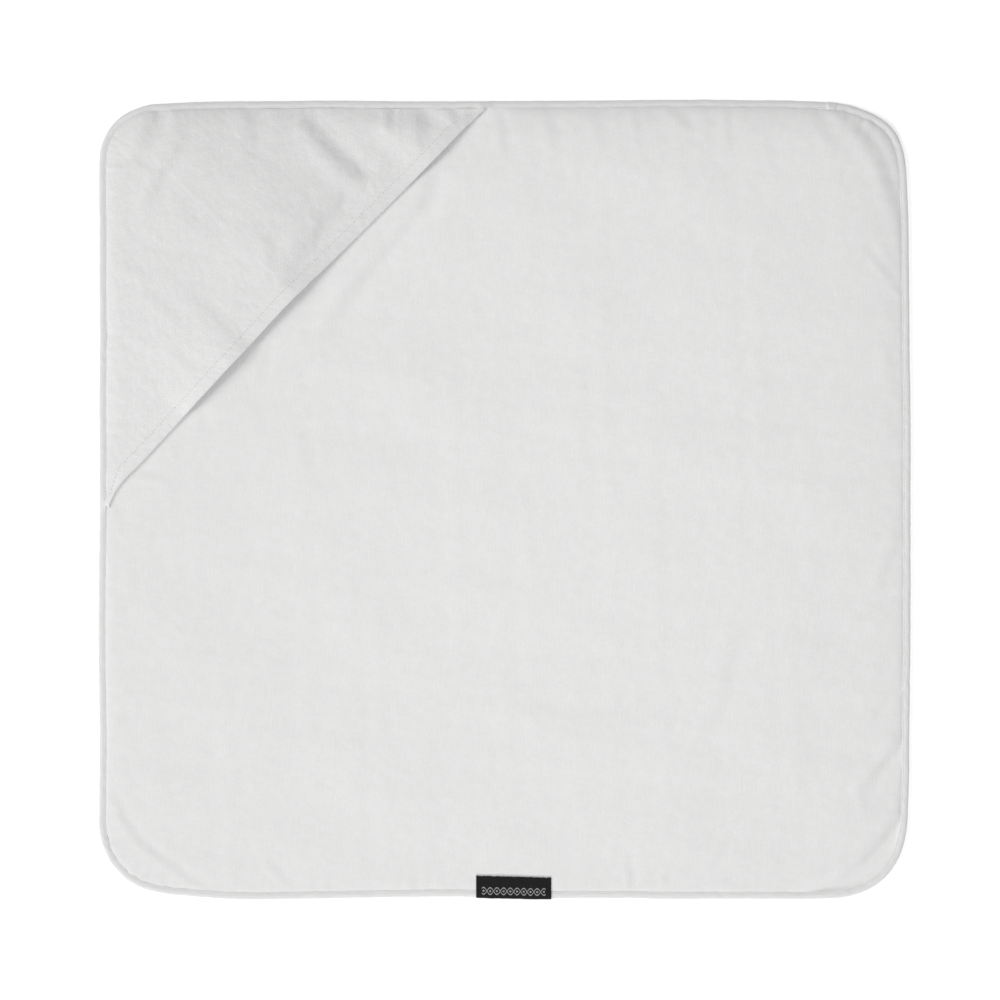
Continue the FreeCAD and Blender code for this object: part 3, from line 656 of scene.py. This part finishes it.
# --- threads ---------------------------------------------------------------
def stitch_points(a, b, lift_a, wide, high, sag=0.12, slices=6, around=6):
    """One stitch, a bowed thread from a to b."""
    a, b = np.asarray(a, float), np.asarray(b, float)
    e = b - a
    length = np.linalg.norm(e)
    e = e / length
    up = np.array([0, 0, 1.0])
    side = np.cross(up, e)
    side /= np.linalg.norm(side)
    up = np.cross(e, side)
    pts = []
    for t in np.linspace(0, 1, slices):
        bow = math.sin(math.pi * t)
        c = a + e * length * t + up * (lift_a * (0.35 + 0.65 * bow) - sag * (1 - bow))
        r = 0.45 + 0.55 * bow**0.5
        for k in range(around):
            q = 2 * math.pi * (k + 0.5) / around
            pts.append(c + side * wide * 0.5 * r * math.cos(q) + up * high * 0.5 * r * math.sin(q))
    faces = []
    for i in range(slices - 1):
        for k in range(around):
            faces.append([i * around + k, i * around + (k + 1) % around,
                          (i + 1) * around + (k + 1) % around, (i + 1) * around + k])
    faces.append(list(range(around))[::-1])
    faces.append([(slices - 1) * around + k for k in range(around)])
    return pts, faces


def make_stitches(name, ends, wide=0.5, high=0.3, lift=0.12, sag=0.12):
    points, faces, flat = [], [], []
    run = 0.0
    for a, b in ends:
        p, f = stitch_points(a, b, lift, wide, high, sag)
        start = len(points)
        points += p
        faces += [[start + k for k in q] for q in f]
        long_ = np.linalg.norm(np.asarray(b) - np.asarray(a))
        flat += [(run + long_ * (i // 6) / 5, (i % 6) * 0.4) for i in range(len(p))]
        run += long_ + 0.7
    ob = make_piece(name, np.array(points), faces, flat=np.array(flat) * MM)
    face_outward(ob)
    return ob


# a row along the binding, front and back
rng = np.random.default_rng(61)
ends = []
pitch = 3.1
count = int(ROUND / pitch)
s0 = (np.arange(count) + 0.1) * ROUND / count
s1 = s0 + 2.25
for side_z, d_at in (("front", 5.72), ("back", 5.3)):
    d0 = d_at + 0.18 * width_wave(s0) + rng.normal(0, 0.07, count)
    d1 = d_at + 0.18 * width_wave(s1) + rng.normal(0, 0.07, count) - 0.25
    p0, p1 = edge_at(s0, d0), edge_at(s1, d1)
    if side_z == "front":
        h0 = 2.66 + 1.45 * in_hood_zone(s0) + top_lift(s0) * d0 / TAPE
        h1 = 2.66 + 1.45 * in_hood_zone(s1) + top_lift(s1) * d1 / TAPE
    else:
        h0, h1 = 0.0 * s0 - 0.02, 0.0 * s1 - 0.02
    for q0, q1, a0, a1, sa in zip(p0, p1, h0, h1, s0):
        ends.append(((q0[0], q0[1], a0), (q1[0], q1[1], a1)))
binding_stitches = make_stitches("binding-stitches", ends, 0.42, 0.24, 0.04, 0.12)

# --- the hood's margins ----------------------------------------------------
# stations along the edge from B, round the upper left corner, to A
left_arc = STARTS[7]
s_m = np.concatenate([
    np.arange(S_B - 7.0, left_arc, 1.8),
    left_arc + np.linspace(0, run_length(RUNS[7]), 61),
    ROUND + np.arange(1.5, S_A + 5.0, 1.8),
])
base, outward = on_design(s_m)
# where the inward line meets the seam lines
inner = np.zeros_like(base)
for i, (p, n) in enumerate(zip(base, outward)):
    found = None
    for e in (U_B, U_A):
        m2 = np.array([[-n[0], -e[0]], [-n[1], -e[1]]])
        t, w = np.linalg.solve(m2, K - p)
        if w >= -1e-6 and t > 0:
            if found is None or t < found[0]:
                found = (t, w, K + e * w)
    inner[i] = found[2] if found else K
inner[np.argmin(np.linalg.norm(inner - K, axis=1))] = K
outer = edge_at(s_m, 1.4 + 0 * s_m)
N_IN = 15
share = np.concatenate([np.linspace(0, 1, N_IN)])
strip = outer[:, None] * (1 - share)[None, :, None] + inner[:, None] * share[None, :, None]
md, ms = from_edge(strip[..., 0], strip[..., 1])
mz = hood_top(strip[..., 0], strip[..., 1], md, ms)
mz = np.where(md < 6.3, np.minimum(mz, 3.80), mz)
# both ends go down under the binding
tail = smooth(s_m, S_B - 7.0, S_B + 3.0) * (1 - smooth(s_m, ROUND + S_A - 3.0, ROUND + S_A + 5.0))
mz = 2.62 + (mz - 2.62) * (0.25 + 0.75 * tail[:, None])
low_z = np.full_like(mz, 2.46)
low_z = np.where(md > 9, 2.62, low_z)
n_st = len(s_m)
ring_top = np.concatenate([strip, mz[..., None]], -1)
ring_low = np.concatenate([strip, low_z[..., None]], -1)[:, ::-1]
margin_rings = np.concatenate([ring_top, ring_low], 1)
per = margin_rings.shape[1]
last_top, first_low = N_IN - 1, N_IN


def margin_sharp(keys):
    k = keys % per
    return ((k == last_top).all(1)) | ((k == first_low).all(1))


margin = make_piece("hood-margin", margin_rings.reshape(-1, 3), loop_sweep(margin_rings.shape[:2], False),
                    flat=margin_rings.reshape(-1, 3)[:, :2] * MM)
face_outward(margin)
keys = np.zeros(len(margin.data.edges) * 2, np.int32)
margin.data.edges.foreach_get("vertices", keys)
mark = margin_sharp(keys.reshape(-1, 2))
attribute = margin.data.attributes.get("sharp_edge") or margin.data.attributes.new("sharp_edge", "BOOLEAN", "EDGE")
attribute.data.foreach_set("value", mark)
margin.data.update()

# --- the hood --------------------------------------------------------------
b_rows = np.concatenate([np.linspace(B_END, 0, 165), np.linspace(0, A_END, 157)[1:]])
THICK, UNDER, GAP = 1.40, 1.20, 0.06
N_FAR, N_HEM = 104, 26
rows = []
for b in b_rows:
    a0, a1 = float(seam_at(b)), float(mouth_at(b))
    room = a1 - a0
    k = min(1.0, room / 14.0)
    wide = float(hem_wide(b))
    total = (THICK + UNDER + GAP) * k
    r = 0.5 * total
    near = min(20.0, 0.5 * room)
    far = np.linspace(a0, a1 - near, N_FAR, endpoint=False)
    hem = np.linspace(a1 - near, a1 - r, N_HEM)
    face = np.concatenate([far, hem])
    turn = np.linspace(90, -90, 9)[1:-1]
    back_hem = np.linspace(a1 - r, a1 - wide, 12)
    back_top = np.linspace(a1 - wide, a1 - r * 1.1, 10)
    back = np.concatenate([np.linspace(a1 - r * 1.3, a1 - near, 12, endpoint=False), np.linspace(a1 - near, a0, 34)])
    rows.append((b, a1, r, k, face, turn, back_hem, back_top, back))

ab, kind = [], []
for b, a1, r, k, face, turn, back_hem, back_top, back in rows:
    ab.append(np.stack([np.concatenate([face, np.full(len(turn), a1 - r), back_hem, back_top, back]),
                        np.full(len(face) + len(turn) + len(back_hem) + len(back_top) + len(back), b)], -1))
ab = np.array(ab)
hx = K[0] + ab[..., 0] * INTO[0] + ab[..., 1] * ALONG[0]
hy = K[1] + ab[..., 0] * INTO[1] + ab[..., 1] * ALONG[1]
hd, hs = from_edge(hx, hy)
hz = hood_top(hx, hy, hd, hs)
per_hood = ab.shape[1]
nf, nt_, nb1, nb2 = len(rows[0][4]), len(rows[0][5]), len(rows[0][6]), len(rows[0][7])
HOOD = np.stack([hx, hy, hz], -1)
for i, (b, a1, r, k, face, turn, back_hem, back_top, back) in enumerate(rows):
    # the fold at the mouth
    centre_a, top_z = a1 - r, hz[i, nf - 1]
    q = np.radians(turn)
    fa = centre_a + r * np.cos(q)
    HOOD[i, nf:nf + nt_, 0] = K[0] + fa * INTO[0] + b * ALONG[0]
    HOOD[i, nf:nf + nt_, 1] = K[1] + fa * INTO[1] + b * ALONG[1]
    HOOD[i, nf:nf + nt_, 2] = top_z - r + r * np.sin(q)
    j = nf + nt_
    HOOD[i, j:j + nb1, 2] -= 2 * r
    j += nb1
    HOOD[i, j:j + nb2, 2] -= (THICK + GAP) * k
    j += nb2
    HOOD[i, j:, 2] -= THICK * k
    # the back ends on the fold line itself
    HOOD[i, j:, 2] = np.where(ab[i, j:, 0] - ab[i, -1, 0] < 9, HOOD[i, j:, 2] * smooth(ab[i, j:, 0] - ab[i, -1, 0], 0, 9)
                              + 2.66 * (1 - smooth(ab[i, j:, 0] - ab[i, -1, 0], 0, 9)), HOOD[i, j:, 2])
HOOD[..., 2] = np.where((np.arange(per_hood) >= nf)[None], np.maximum(HOOD[..., 2], 2.6), HOOD[..., 2])
hood = make_piece("hood-cloth", HOOD.reshape(-1, 3), loop_sweep(HOOD.shape[:2], False), flat=np.stack([hx, hy], -1).reshape(-1, 2) * MM)
face_outward(hood)
keys = np.zeros(len(hood.data.edges) * 2, np.int32)
hood.data.edges.foreach_get("vertices", keys)
kk = keys.reshape(-1, 2) % per_hood
mark = ((kk == 0).all(1)) | ((kk == per_hood - 1).all(1))
attribute = hood.data.attributes.get("sharp_edge") or hood.data.attributes.new("sharp_edge", "BOOLEAN", "EDGE")
attribute.data.foreach_set("value", mark)
hood.data.update()

# the hem's stitches
ends = []
rng = np.random.default_rng(67)
bs0 = np.arange(B_END + 9.0, A_END - 9.0, 3.4)
bs1 = bs0 + 2.45


def on_hood(b, inside):
    a = mouth_at(b) - inside
    x, y = K[0] + a * INTO[0] + b * ALONG[0], K[1] + a * INTO[1] + b * ALONG[1]
    d, s = from_edge(x, y)
    return np.stack([x, y, hood_top(x, y, d, s)], -1)


jitter = rng.normal(0, 0.10, (2, len(bs0)))
p0 = on_hood(bs0, hem_wide(bs0) * (11.6 / HEM) + jitter[0])
p1 = on_hood(bs1, hem_wide(bs1) * (11.6 / HEM) + jitter[1])
ends = [(a, b) for a, b in zip(p0, p1)]
hem_stitches = make_stitches("hem-stitches", ends, 0.5, 0.32, 0.20, 0.10)

# --- the label -------------------------------------------------------------
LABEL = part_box("woven_label")
lab_x0, lab_x1 = LABEL[0].x / MM + 0.4, LABEL[1].x / MM - 0.4
lab_top = LABEL[1].y / MM - 2.45
tilt = math.tan(math.radians(-1.45))
lab_mid = 0.5 * (lab_x0 + lab_x1)
lx = np.linspace(lab_x0, lab_x1, 92)
ragged = waves_1d(71, 18, 1.6, 7)
edge_y = np.array([edge_at(np.array([STARTS[4] + (HALF_X - R_BR) - x]), np.array([0.0]))[0][1] for x in lx])
LAB_T = 0.38
TAPE_TOP = ([0.2, 0.4, 1.1, 2.1, 3.2, 4.3, 5.1, 6.1, 6.7], [2.2, 2.34, 2.66, 2.84, 2.93, 2.90, 2.76, 2.72, 2.6])
# the label's path: in from the edge (mm), height of its under side
lab_rows = []
for x, ey in zip(lx, edge_y):
    end_in = lab_top + tilt * (x - lab_mid) - ey + 0.22 * float(ragged(np.array([x]))[0])
    back_in = 20.0 + 0.3 * float(ragged(np.array([x + 50]))[0])
    d_top = np.concatenate([np.linspace(end_in, 8.0, 16), [7.2, 6.6, 5.6, 4.4, 3.2, 2.2, 1.3]])
    px, py = np.full(len(d_top), x), ey + d_top
    pd, ps = from_edge(px, py)
    ground = np.where(d_top > 6.4, np.maximum(towel_top(px, py, pd, ps)[0], 2.6), np.interp(d_top, *TAPE_TOP) + 0.16)
    level = ground.copy()
    for _ in range(8):
        level = np.concatenate([level[:1], (level[:-2] + 2 * level[1:-1] + level[2:]) / 4, level[-1:]])
        level = np.maximum(level, ground)
    z_top = level + 0.09
    arc_q = np.radians([60, 30, 0, -30, -60])
    d_arc = 0.95 - 1.25 * np.cos(arc_q)
    z_arc = 1.46 + 1.62 * np.sin(arc_q)
    d_low = np.concatenate([[1.3, 2.4, 3.8, 5.4, 7.0], np.linspace(8.6, back_in, 8)])
    z_low = np.concatenate([[-0.06, -0.1, -0.12, -0.12, -0.1], np.full(8, -0.02)])
    lab_rows.append((x, ey, np.concatenate([d_top, d_arc, d_low]), np.concatenate([z_top, z_arc, z_low])))
n_path = len(lab_rows[0][2])
under_side, over_side = [], []
for x, ey, d, z in lab_rows:
    e_d, e_z = np.gradient(d), np.gradient(z)
    norm = np.hypot(e_d, e_z)
    nd, nz = e_z / norm, -e_d / norm            # away from the towel
    wob = 0.05 * np.sin(x / 2.3 + d * 0.4) + 0.06 * np.sin(x / 7.1 + 1.3)
    yy = ey + d
    under_side.append(np.stack([np.full(n_path, x), yy, z], -1))
    over_side.append(np.stack([np.full(n_path, x) , ey + d + nd * LAB_T, z + nz * LAB_T + np.abs(wob) * (z > 2.5)], -1))
under_side, over_side = np.array(under_side), np.array(over_side)
lab_rings = np.concatenate([over_side, under_side[:, ::-1]], 1)
run = np.concatenate([[0], np.cumsum(np.linalg.norm(np.diff(over_side[40], axis=0), axis=1))])
flat_v = np.concatenate([run, run[::-1]])
flat = np.stack([np.repeat(lx, lab_rings.shape[1]) - lab_mid, np.tile(flat_v, len(lx))], -1)
label = make_piece("label-woven", lab_rings.reshape(-1, 3), loop_sweep(lab_rings.shape[:2], False), flat=flat * MM)
face_outward(label)

# the label's stitches: a row of short white threads over its raw end
rng = np.random.default_rng(73)
ends = []
for x in np.arange(lab_x0 + 0.5, lab_x1 - 0.4, 1.15):
    k = int(np.clip(round((x - lab_x0) / (lab_x1 - lab_x0) * 91), 0, 91))
    top_y = over_side[k, 0, 1]
    j = rng.normal(0, 0.16, 4)
    qx, qy = np.array([x + j[0]]), np.array([top_y + 1.35 + j[1]])
    qz = float(towel_top(qx, qy, *from_edge(qx, qy))[0][0])
    ends.append(((qx[0], qy[0], qz + 0.08), (x + 0.2 + j[2], top_y - 0.45 + 0.5 * j[3], over_side[k, 0, 2] + 0.10)))
for x in np.arange(lab_x0 + 2.0, lab_x1 - 3.0, 3.3):
    k = int(np.clip(round((x - lab_x0) / (lab_x1 - lab_x0) * 91), 0, 91))
    back_y = over_side[k, -1, 1]
    ends.append(((x, back_y - 1.4, -0.42), (x + 2.4, back_y - 1.4, -0.42)))
label_stitches = make_stitches("label-stitches", ends, 0.55, 0.34, 0.06, 0.05)


# ---------------------------------------------------------------------------
# Materials
# ---------------------------------------------------------------------------
def new_material(name):
    m = bpy.data.materials.new(name)
    m.use_nodes = True
    nt = m.node_tree
    nt.nodes.clear()
    out = nt.nodes.new("ShaderNodeOutputMaterial")
    shader = nt.nodes.new("ShaderNodeBsdfPrincipled")
    nt.links.new(shader.outputs[0], out.inputs[0])
    return m, nt, shader


def add(nt, kind, **values):
    n = nt.nodes.new(kind)
    for k, v in values.items():
        if hasattr(n, k):
            setattr(n, k, v)
        else:
            n.inputs[k.replace("_", " ")].default_value = v
    return n


def math_node(nt, op, a, b=None, c=None, clamp=False):
    n = nt.nodes.new("ShaderNodeMath")
    n.operation = op
    n.use_clamp = clamp
    for i, value in enumerate((a, b, c)):
        if value is None:
            continue
        if isinstance(value, (int, float)):
            n.inputs[i].default_value = value
        else:
            nt.links.new(value, n.inputs[i])
    return n.outputs[0]


def cloth_coords(nt, scale):
    uv = nt.nodes.new("ShaderNodeUVMap")
    uv.uv_map = "cloth"
    mp = nt.nodes.new("ShaderNodeMapping")
    mp.inputs["Scale"].default_value = scale
    nt.links.new(uv.outputs[0], mp.inputs["Vector"])
    return mp.outputs[0]


def noise(nt, coords, scale, detail=2.0, rough=0.5, low=0.3, high=0.7):
    n = nt.nodes.new("ShaderNodeTexNoise")
    n.inputs["Scale"].default_value = scale
    n.inputs["Detail"].default_value = detail
    n.inputs["Roughness"].default_value = rough
    nt.links.new(coords, n.inputs["Vector"])
    r = nt.nodes.new("ShaderNodeMapRange")
    r.inputs["From Min"].default_value = low
    r.inputs["From Max"].default_value = high
    nt.links.new(n.outputs[0], r.inputs[0])
    return r.outputs[0]


def mix_colour(nt, factor, a, b):
    n = nt.nodes.new("ShaderNodeMix")
    n.data_type = "RGBA"
    if isinstance(factor, (int, float)):
        n.inputs["Factor"].default_value = factor
    else:
        nt.links.new(factor, n.inputs["Factor"])
    colour_a = [s for s in n.inputs if s.name == "A" and s.type == "RGBA"][0]
    colour_b = [s for s in n.inputs if s.name == "B" and s.type == "RGBA"][0]
    for socket, value in ((colour_a, a), (colour_b, b)):
        if isinstance(value, tuple):
            socket.default_value = (*value, 1.0)
        else:
            nt.links.new(value, socket)
    return [s for s in n.outputs if s.type == "RGBA"][0]


def terry(name, dark, light, pile=0.45, pile_mm=0.95, streak=0.3, grain=0.5, painted_shade=0.0):
    """Sheared cotton terry: a short dense pile with faint lengthwise streaks, and optional painted shade darkening one
    end.
    """
    m, nt, shader = new_material(name)
    fine = noise(nt, cloth_coords(nt, (1000, 1000, 1)), 1 / pile_mm, 2.5, 0.6)
    tufts = noise(nt, cloth_coords(nt, (1000, 800, 1)), 0.42, 2.0, 0.5)
    streaks = noise(nt, cloth_coords(nt, (620, 55, 1)), 1.0, 2.0, 0.5)
    clouds = noise(nt, cloth_coords(nt, (700, 1000, 1)), 0.16, 3.0, 0.6)
    # colour: lighter on the pile's tips
    f = math_node(nt, "MULTIPLY", fine, grain)
    t = math_node(nt, "MULTIPLY_ADD", tufts, 0.22, f)
    s = math_node(nt, "MULTIPLY_ADD", streaks, streak, t)
    c = math_node(nt, "MULTIPLY_ADD", clouds, 0.22, s, clamp=True)
    base = mix_colour(nt, c, dark, light)
    # painted shade: the colour darkens by this share towards larger x + y (the hood's upper end), standing in for shade
    # that falls there
    if painted_shade:
        split = nt.nodes.new("ShaderNodeSeparateXYZ")
        nt.links.new(cloth_coords(nt, (1, 1, 1)), split.inputs[0])
        far = nt.nodes.new("ShaderNodeMapRange")
        far.interpolation_type = "SMOOTHSTEP"
        far.inputs["From Min"].default_value = -0.24
        far.inputs["From Max"].default_value = 0.10
        nt.links.new(math_node(nt, "ADD", split.outputs[0], split.outputs[1]), far.inputs[0])
        keep = 1.0 - painted_shade
        base = mix_colour(nt, far.outputs[0], base, mix_colour(nt, c, tuple(v * keep for v in dark), tuple(v * keep for v in light)))
    nt.links.new(base, shader.inputs["Base Color"])
    h = math_node(nt, "MULTIPLY_ADD", tufts, 0.55, math_node(nt, "MULTIPLY", fine, 0.6))
    h = math_node(nt, "MULTIPLY_ADD", streaks, 0.35, h)
    bump = nt.nodes.new("ShaderNodeBump")
    bump.inputs["Strength"].default_value = pile
    bump.inputs["Distance"].default_value = 0.0004
    nt.links.new(h, bump.inputs["Height"])
    nt.links.new(bump.outputs[0], shader.inputs["Normal"])
    r = math_node(nt, "MULTIPLY_ADD", fine, 0.08, 0.88)
    nt.links.new(r, shader.inputs["Roughness"])
    shader.inputs["Sheen Weight"].default_value = 0.12
    shader.inputs["Sheen Roughness"].default_value = 0.55
    shader.inputs["Sheen Tint"].default_value = (1.0, 0.99, 0.97, 1)
    shader.inputs["Specular IOR Level"].default_value = 0.18
    return m


def tape_material(name, dark, light):
    """Woven cotton tape: fine ribs across it, and a soft roll of thread along its edge."""
    m, nt, shader = new_material(name)
    ribs = nt.nodes.new("ShaderNodeTexWave")
    ribs.wave_type, ribs.bands_direction = "BANDS", "X"
    ribs.inputs["Scale"].default_value = 0.32
    ribs.inputs["Distortion"].default_value = 1.6
    ribs.inputs["Detail"].default_value = 1.5
    nt.links.new(cloth_coords(nt, (1000, 1000, 1)), ribs.inputs["Vector"])
    fine = noise(nt, cloth_coords(nt, (1000, 1000, 1)), 1.3, 2.0, 0.6)
    long_ = noise(nt, cloth_coords(nt, (60, 700, 1)), 1.0, 2.0, 0.5)
    f = math_node(nt, "MULTIPLY", fine, 0.35)
    f = math_node(nt, "MULTIPLY_ADD", ribs.outputs["Fac"], 0.22, f)
    f = math_node(nt, "MULTIPLY_ADD", long_, 0.40, f, clamp=True)
    nt.links.new(mix_colour(nt, f, dark, light), shader.inputs["Base Color"])
    bump = nt.nodes.new("ShaderNodeBump")
    bump.inputs["Strength"].default_value = 0.35
    bump.inputs["Distance"].default_value = 0.0003
    nt.links.new(f, bump.inputs["Height"])
    nt.links.new(bump.outputs[0], shader.inputs["Normal"])
    nt.links.new(math_node(nt, "MULTIPLY_ADD", fine, 0.12, 0.74), shader.inputs["Roughness"])
    shader.inputs["Sheen Weight"].default_value = 0.08
    shader.inputs["Sheen Roughness"].default_value = 0.5
    shader.inputs["Specular IOR Level"].default_value = 0.25
    return m


def thread_material(name, dark, light):
    """Spun thread: slanting plies."""
    m, nt, shader = new_material(name)
    ply = nt.nodes.new("ShaderNodeTexWave")
    ply.wave_type, ply.bands_direction = "BANDS", "DIAGONAL"
    ply.inputs["Scale"].default_value = 0.55
    ply.inputs["Distortion"].default_value = 0.6
    nt.links.new(cloth_coords(nt, (1000, 1000, 1)), ply.inputs["Vector"])
    fuzz = noise(nt, cloth_coords(nt, (1000, 1000, 1)), 1.7, 2.0, 0.5)
    f = math_node(nt, "MULTIPLY_ADD", fuzz, 0.4, math_node(nt, "MULTIPLY", ply.outputs["Fac"], 0.6), clamp=True)
    nt.links.new(mix_colour(nt, f, dark, light), shader.inputs["Base Color"])
    bump = nt.nodes.new("ShaderNodeBump")
    bump.inputs["Strength"].default_value = 0.4
    bump.inputs["Distance"].default_value = 0.0001
    nt.links.new(f, bump.inputs["Height"])
    nt.links.new(bump.outputs[0], shader.inputs["Normal"])
    nt.links.new(math_node(nt, "MULTIPLY_ADD", fuzz, 0.15, 0.55), shader.inputs["Roughness"])
    shader.inputs["Sheen Weight"].default_value = 0.1
    return m


def label_material(name):
    """Black woven label with a plain chain of pale waves and dots."""
    m, nt, shader = new_material(name)
    at = cloth_coords(nt, (1000, 1000, 1))
    split = nt.nodes.new("ShaderNodeSeparateXYZ")
    nt.links.new(at, split.inputs[0])
    x, y = split.outputs[0], split.outputs[1]
    # weave: warp ribs and picks
    warp = math_node(nt, "SINE", math_node(nt, "MULTIPLY", x, 2 * math.pi / 0.62))
    pick = math_node(nt, "SINE", math_node(nt, "MULTIPLY", y, 2 * math.pi / 0.80))
    weave = math_node(nt, "MULTIPLY_ADD", math_node(nt, "MULTIPLY", warp, pick), 0.5, 0.5)
    fuzz = noise(nt, at, 0.9, 3.0, 0.6)
    ground = math_node(nt, "MULTIPLY_ADD", fuzz, 0.45, math_node(nt, "MULTIPLY", weave, 0.35), clamp=True)
    # the motif: two crossing waves with a dot in every loop, y counted from the middle of its row
    row = math_node(nt, "SUBTRACT", y, 14.0)
    swing = math_node(nt, "MULTIPLY", math_node(nt, "SINE", math_node(nt, "MULTIPLY", x, 2 * math.pi / 12.4)), 3.1)
    lines = [math_node(nt, "LESS_THAN", math_node(nt, "ABSOLUTE", math_node(nt, op, row, swing)), 0.46) for op in ("SUBTRACT", "ADD")]
    cell = math_node(nt, "ABSOLUTE", math_node(nt, "SUBTRACT", math_node(nt, "FRACT", math_node(nt, "DIVIDE", x, 6.2)), 0.5))
    spot = math_node(nt, "ADD", math_node(nt, "MULTIPLY", cell, 6.2), math_node(nt, "ABSOLUTE", row))
    dot = math_node(nt, "LESS_THAN", spot, 1.15)
    motif = math_node(nt, "MAXIMUM", math_node(nt, "MAXIMUM", lines[0], lines[1]), dot)
    inside = math_node(nt, "LESS_THAN", math_node(nt, "ABSOLUTE", x), 29.5)
    motif = math_node(nt, "MULTIPLY", motif, inside)
    # single threads show in the motif
    threads = math_node(nt, "MULTIPLY_ADD", weave, 0.45, 0.50)
    motif = math_node(nt, "MULTIPLY", motif, threads)
    motif = math_node(nt, "MULTIPLY", motif, math_node(nt, "MULTIPLY_ADD", fuzz, 0.5, 0.6), clamp=True)
    base = mix_colour(nt, ground, (0.005, 0.005, 0.0054), (0.031, 0.031, 0.032))
    nt.links.new(mix_colour(nt, motif, base, (0.64, 0.64, 0.63)), shader.inputs["Base Color"])
    bump = nt.nodes.new("ShaderNodeBump")
    bump.inputs["Strength"].default_value = 0.4
    bump.inputs["Distance"].default_value = 0.00012
    nt.links.new(math_node(nt, "MULTIPLY_ADD", motif, 0.7, weave), bump.inputs["Height"])
    nt.links.new(bump.outputs[0], shader.inputs["Normal"])
    nt.links.new(math_node(nt, "MULTIPLY_ADD", fuzz, 0.12, 0.72), shader.inputs["Roughness"])
    shader.inputs["Specular IOR Level"].default_value = 0.12
    return m


WARM = (1.0, 0.999, 0.996)


def tone(v):
    return (v * WARM[0], v * WARM[1], v * WARM[2])


terry_towel = terry("terry-towel", tone(0.835), tone(0.935), pile=0.20, pile_mm=1.1, streak=0.24, grain=0.36)
# the hood's colour carries 5.5 % painted shade towards its upper end
terry_hood = terry("terry-hood", tone(0.815), tone(0.940), pile=0.30, pile_mm=1.5, streak=0.12, grain=0.50, painted_shade=0.055)
tape_look = tape_material("binding-tape", tone(0.755), tone(0.935))
thread_look = thread_material("sewing-thread", tone(0.70), tone(0.90))
label_look = label_material("label-weave")

for ob, mat in ((towel, terry_towel), (margin, terry_hood), (hood, terry_hood), (binding, tape_look), (lap, tape_look),
                (binding_stitches, thread_look), (hem_stitches, thread_look), (label, label_look), (label_stitches, thread_look)):
    ob.data.materials.append(mat)

# ---------------------------------------------------------------------------
# Baked transforms, and the bodies that the lap and the label follow
# ---------------------------------------------------------------------------
for ob in (towel, binding, binding_stitches, margin):
    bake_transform(ob)
for ob in (hood, hem_stitches):
    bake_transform(ob)
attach(lap, "towel_upper")
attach(label, "towel_lower")
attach(label_stitches, "towel_lower")

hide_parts("body_panel_lower", "body_panel_upper")
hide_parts("edge_binding_lower", "edge_binding_upper")
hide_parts("binding_end_lap")
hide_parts("binding_thread_lower", "binding_thread_upper")
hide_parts("hood_seam_edge_lower", "hood_seam_edge_upper")
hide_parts("hood_panel_lower", "hood_panel_upper", "hood_hem_lower", "hood_hem_upper")
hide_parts("hood_hem_thread_lower", "hood_hem_thread_upper")
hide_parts("woven_label")
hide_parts("label_thread")

# ---------------------------------------------------------------------------
# Floor, light and camera
# ---------------------------------------------------------------------------
bpy.ops.mesh.primitive_plane_add(size=14, location=(0, 0, -0.0006))
floor = bpy.context.object
floor.name = "floor"
m, nt, shader = new_material("pale-floor")
shader.inputs["Base Color"].default_value = (0.93, 0.93, 0.93, 1)
shader.inputs["Roughness"].default_value = 0.9
shader.inputs["Specular IOR Level"].default_value = 0.1
shader.inputs["Emission Color"].default_value = (1, 1, 1, 1)
shader.inputs["Emission Strength"].default_value = 0.35
floor.data.materials.append(m)

world = bpy.data.worlds.new("studio")
world.use_nodes = True
world.node_tree.nodes["Background"].inputs[0].default_value = (1.0, 1.0, 1.0, 1)
world.node_tree.nodes["Background"].inputs[1].default_value = 0.368
bpy.context.scene.world = world


def area_light(name, at, aim, size, power):
    data = bpy.data.lights.new(name, "AREA")
    data.shape = "SQUARE"
    data.size = size
    data.energy = power
    data.color = (1.0, 0.9995, 0.9985)
    ob = bpy.data.objects.new(name, data)
    bpy.context.collection.objects.link(ob)
    ob.location = at
    ob.rotation_mode = "QUATERNION"
    ob.rotation_quaternion = (Vector(aim) - Vector(at)).to_track_quat("-Z", "Y")
    return ob


area_light("key", (-6.8, -0.5, 4.0), (0, 0, 0), 4.0, 339)
area_light("overhead", (0.12, 0.0, 0.9), (0.12, 0.0, 0), 0.7, 1.45).visible_camera = False
area_light("fill", (0.6, -5.0, 1.9), (0.05, 0, 0), 1.6, 90).visible_camera = False

cam_data = bpy.data.cameras.new("camera")
cam_data.type = "PERSP"
cam_data.sensor_width = 36
cam_data.lens = 150
cam_data.clip_end = 100
cam = bpy.data.objects.new("camera", cam_data)
bpy.context.collection.objects.link(cam)
cam.location = (-0.00416, -0.00032, 0.003 + 0.924 * 150 / 36)
cam.rotation_euler = (0, 0, 0)
bpy.context.scene.camera = cam
bpy.context.scene.view_settings.view_transform = "Standard"
bpy.context.scene.view_settings.look = "None"
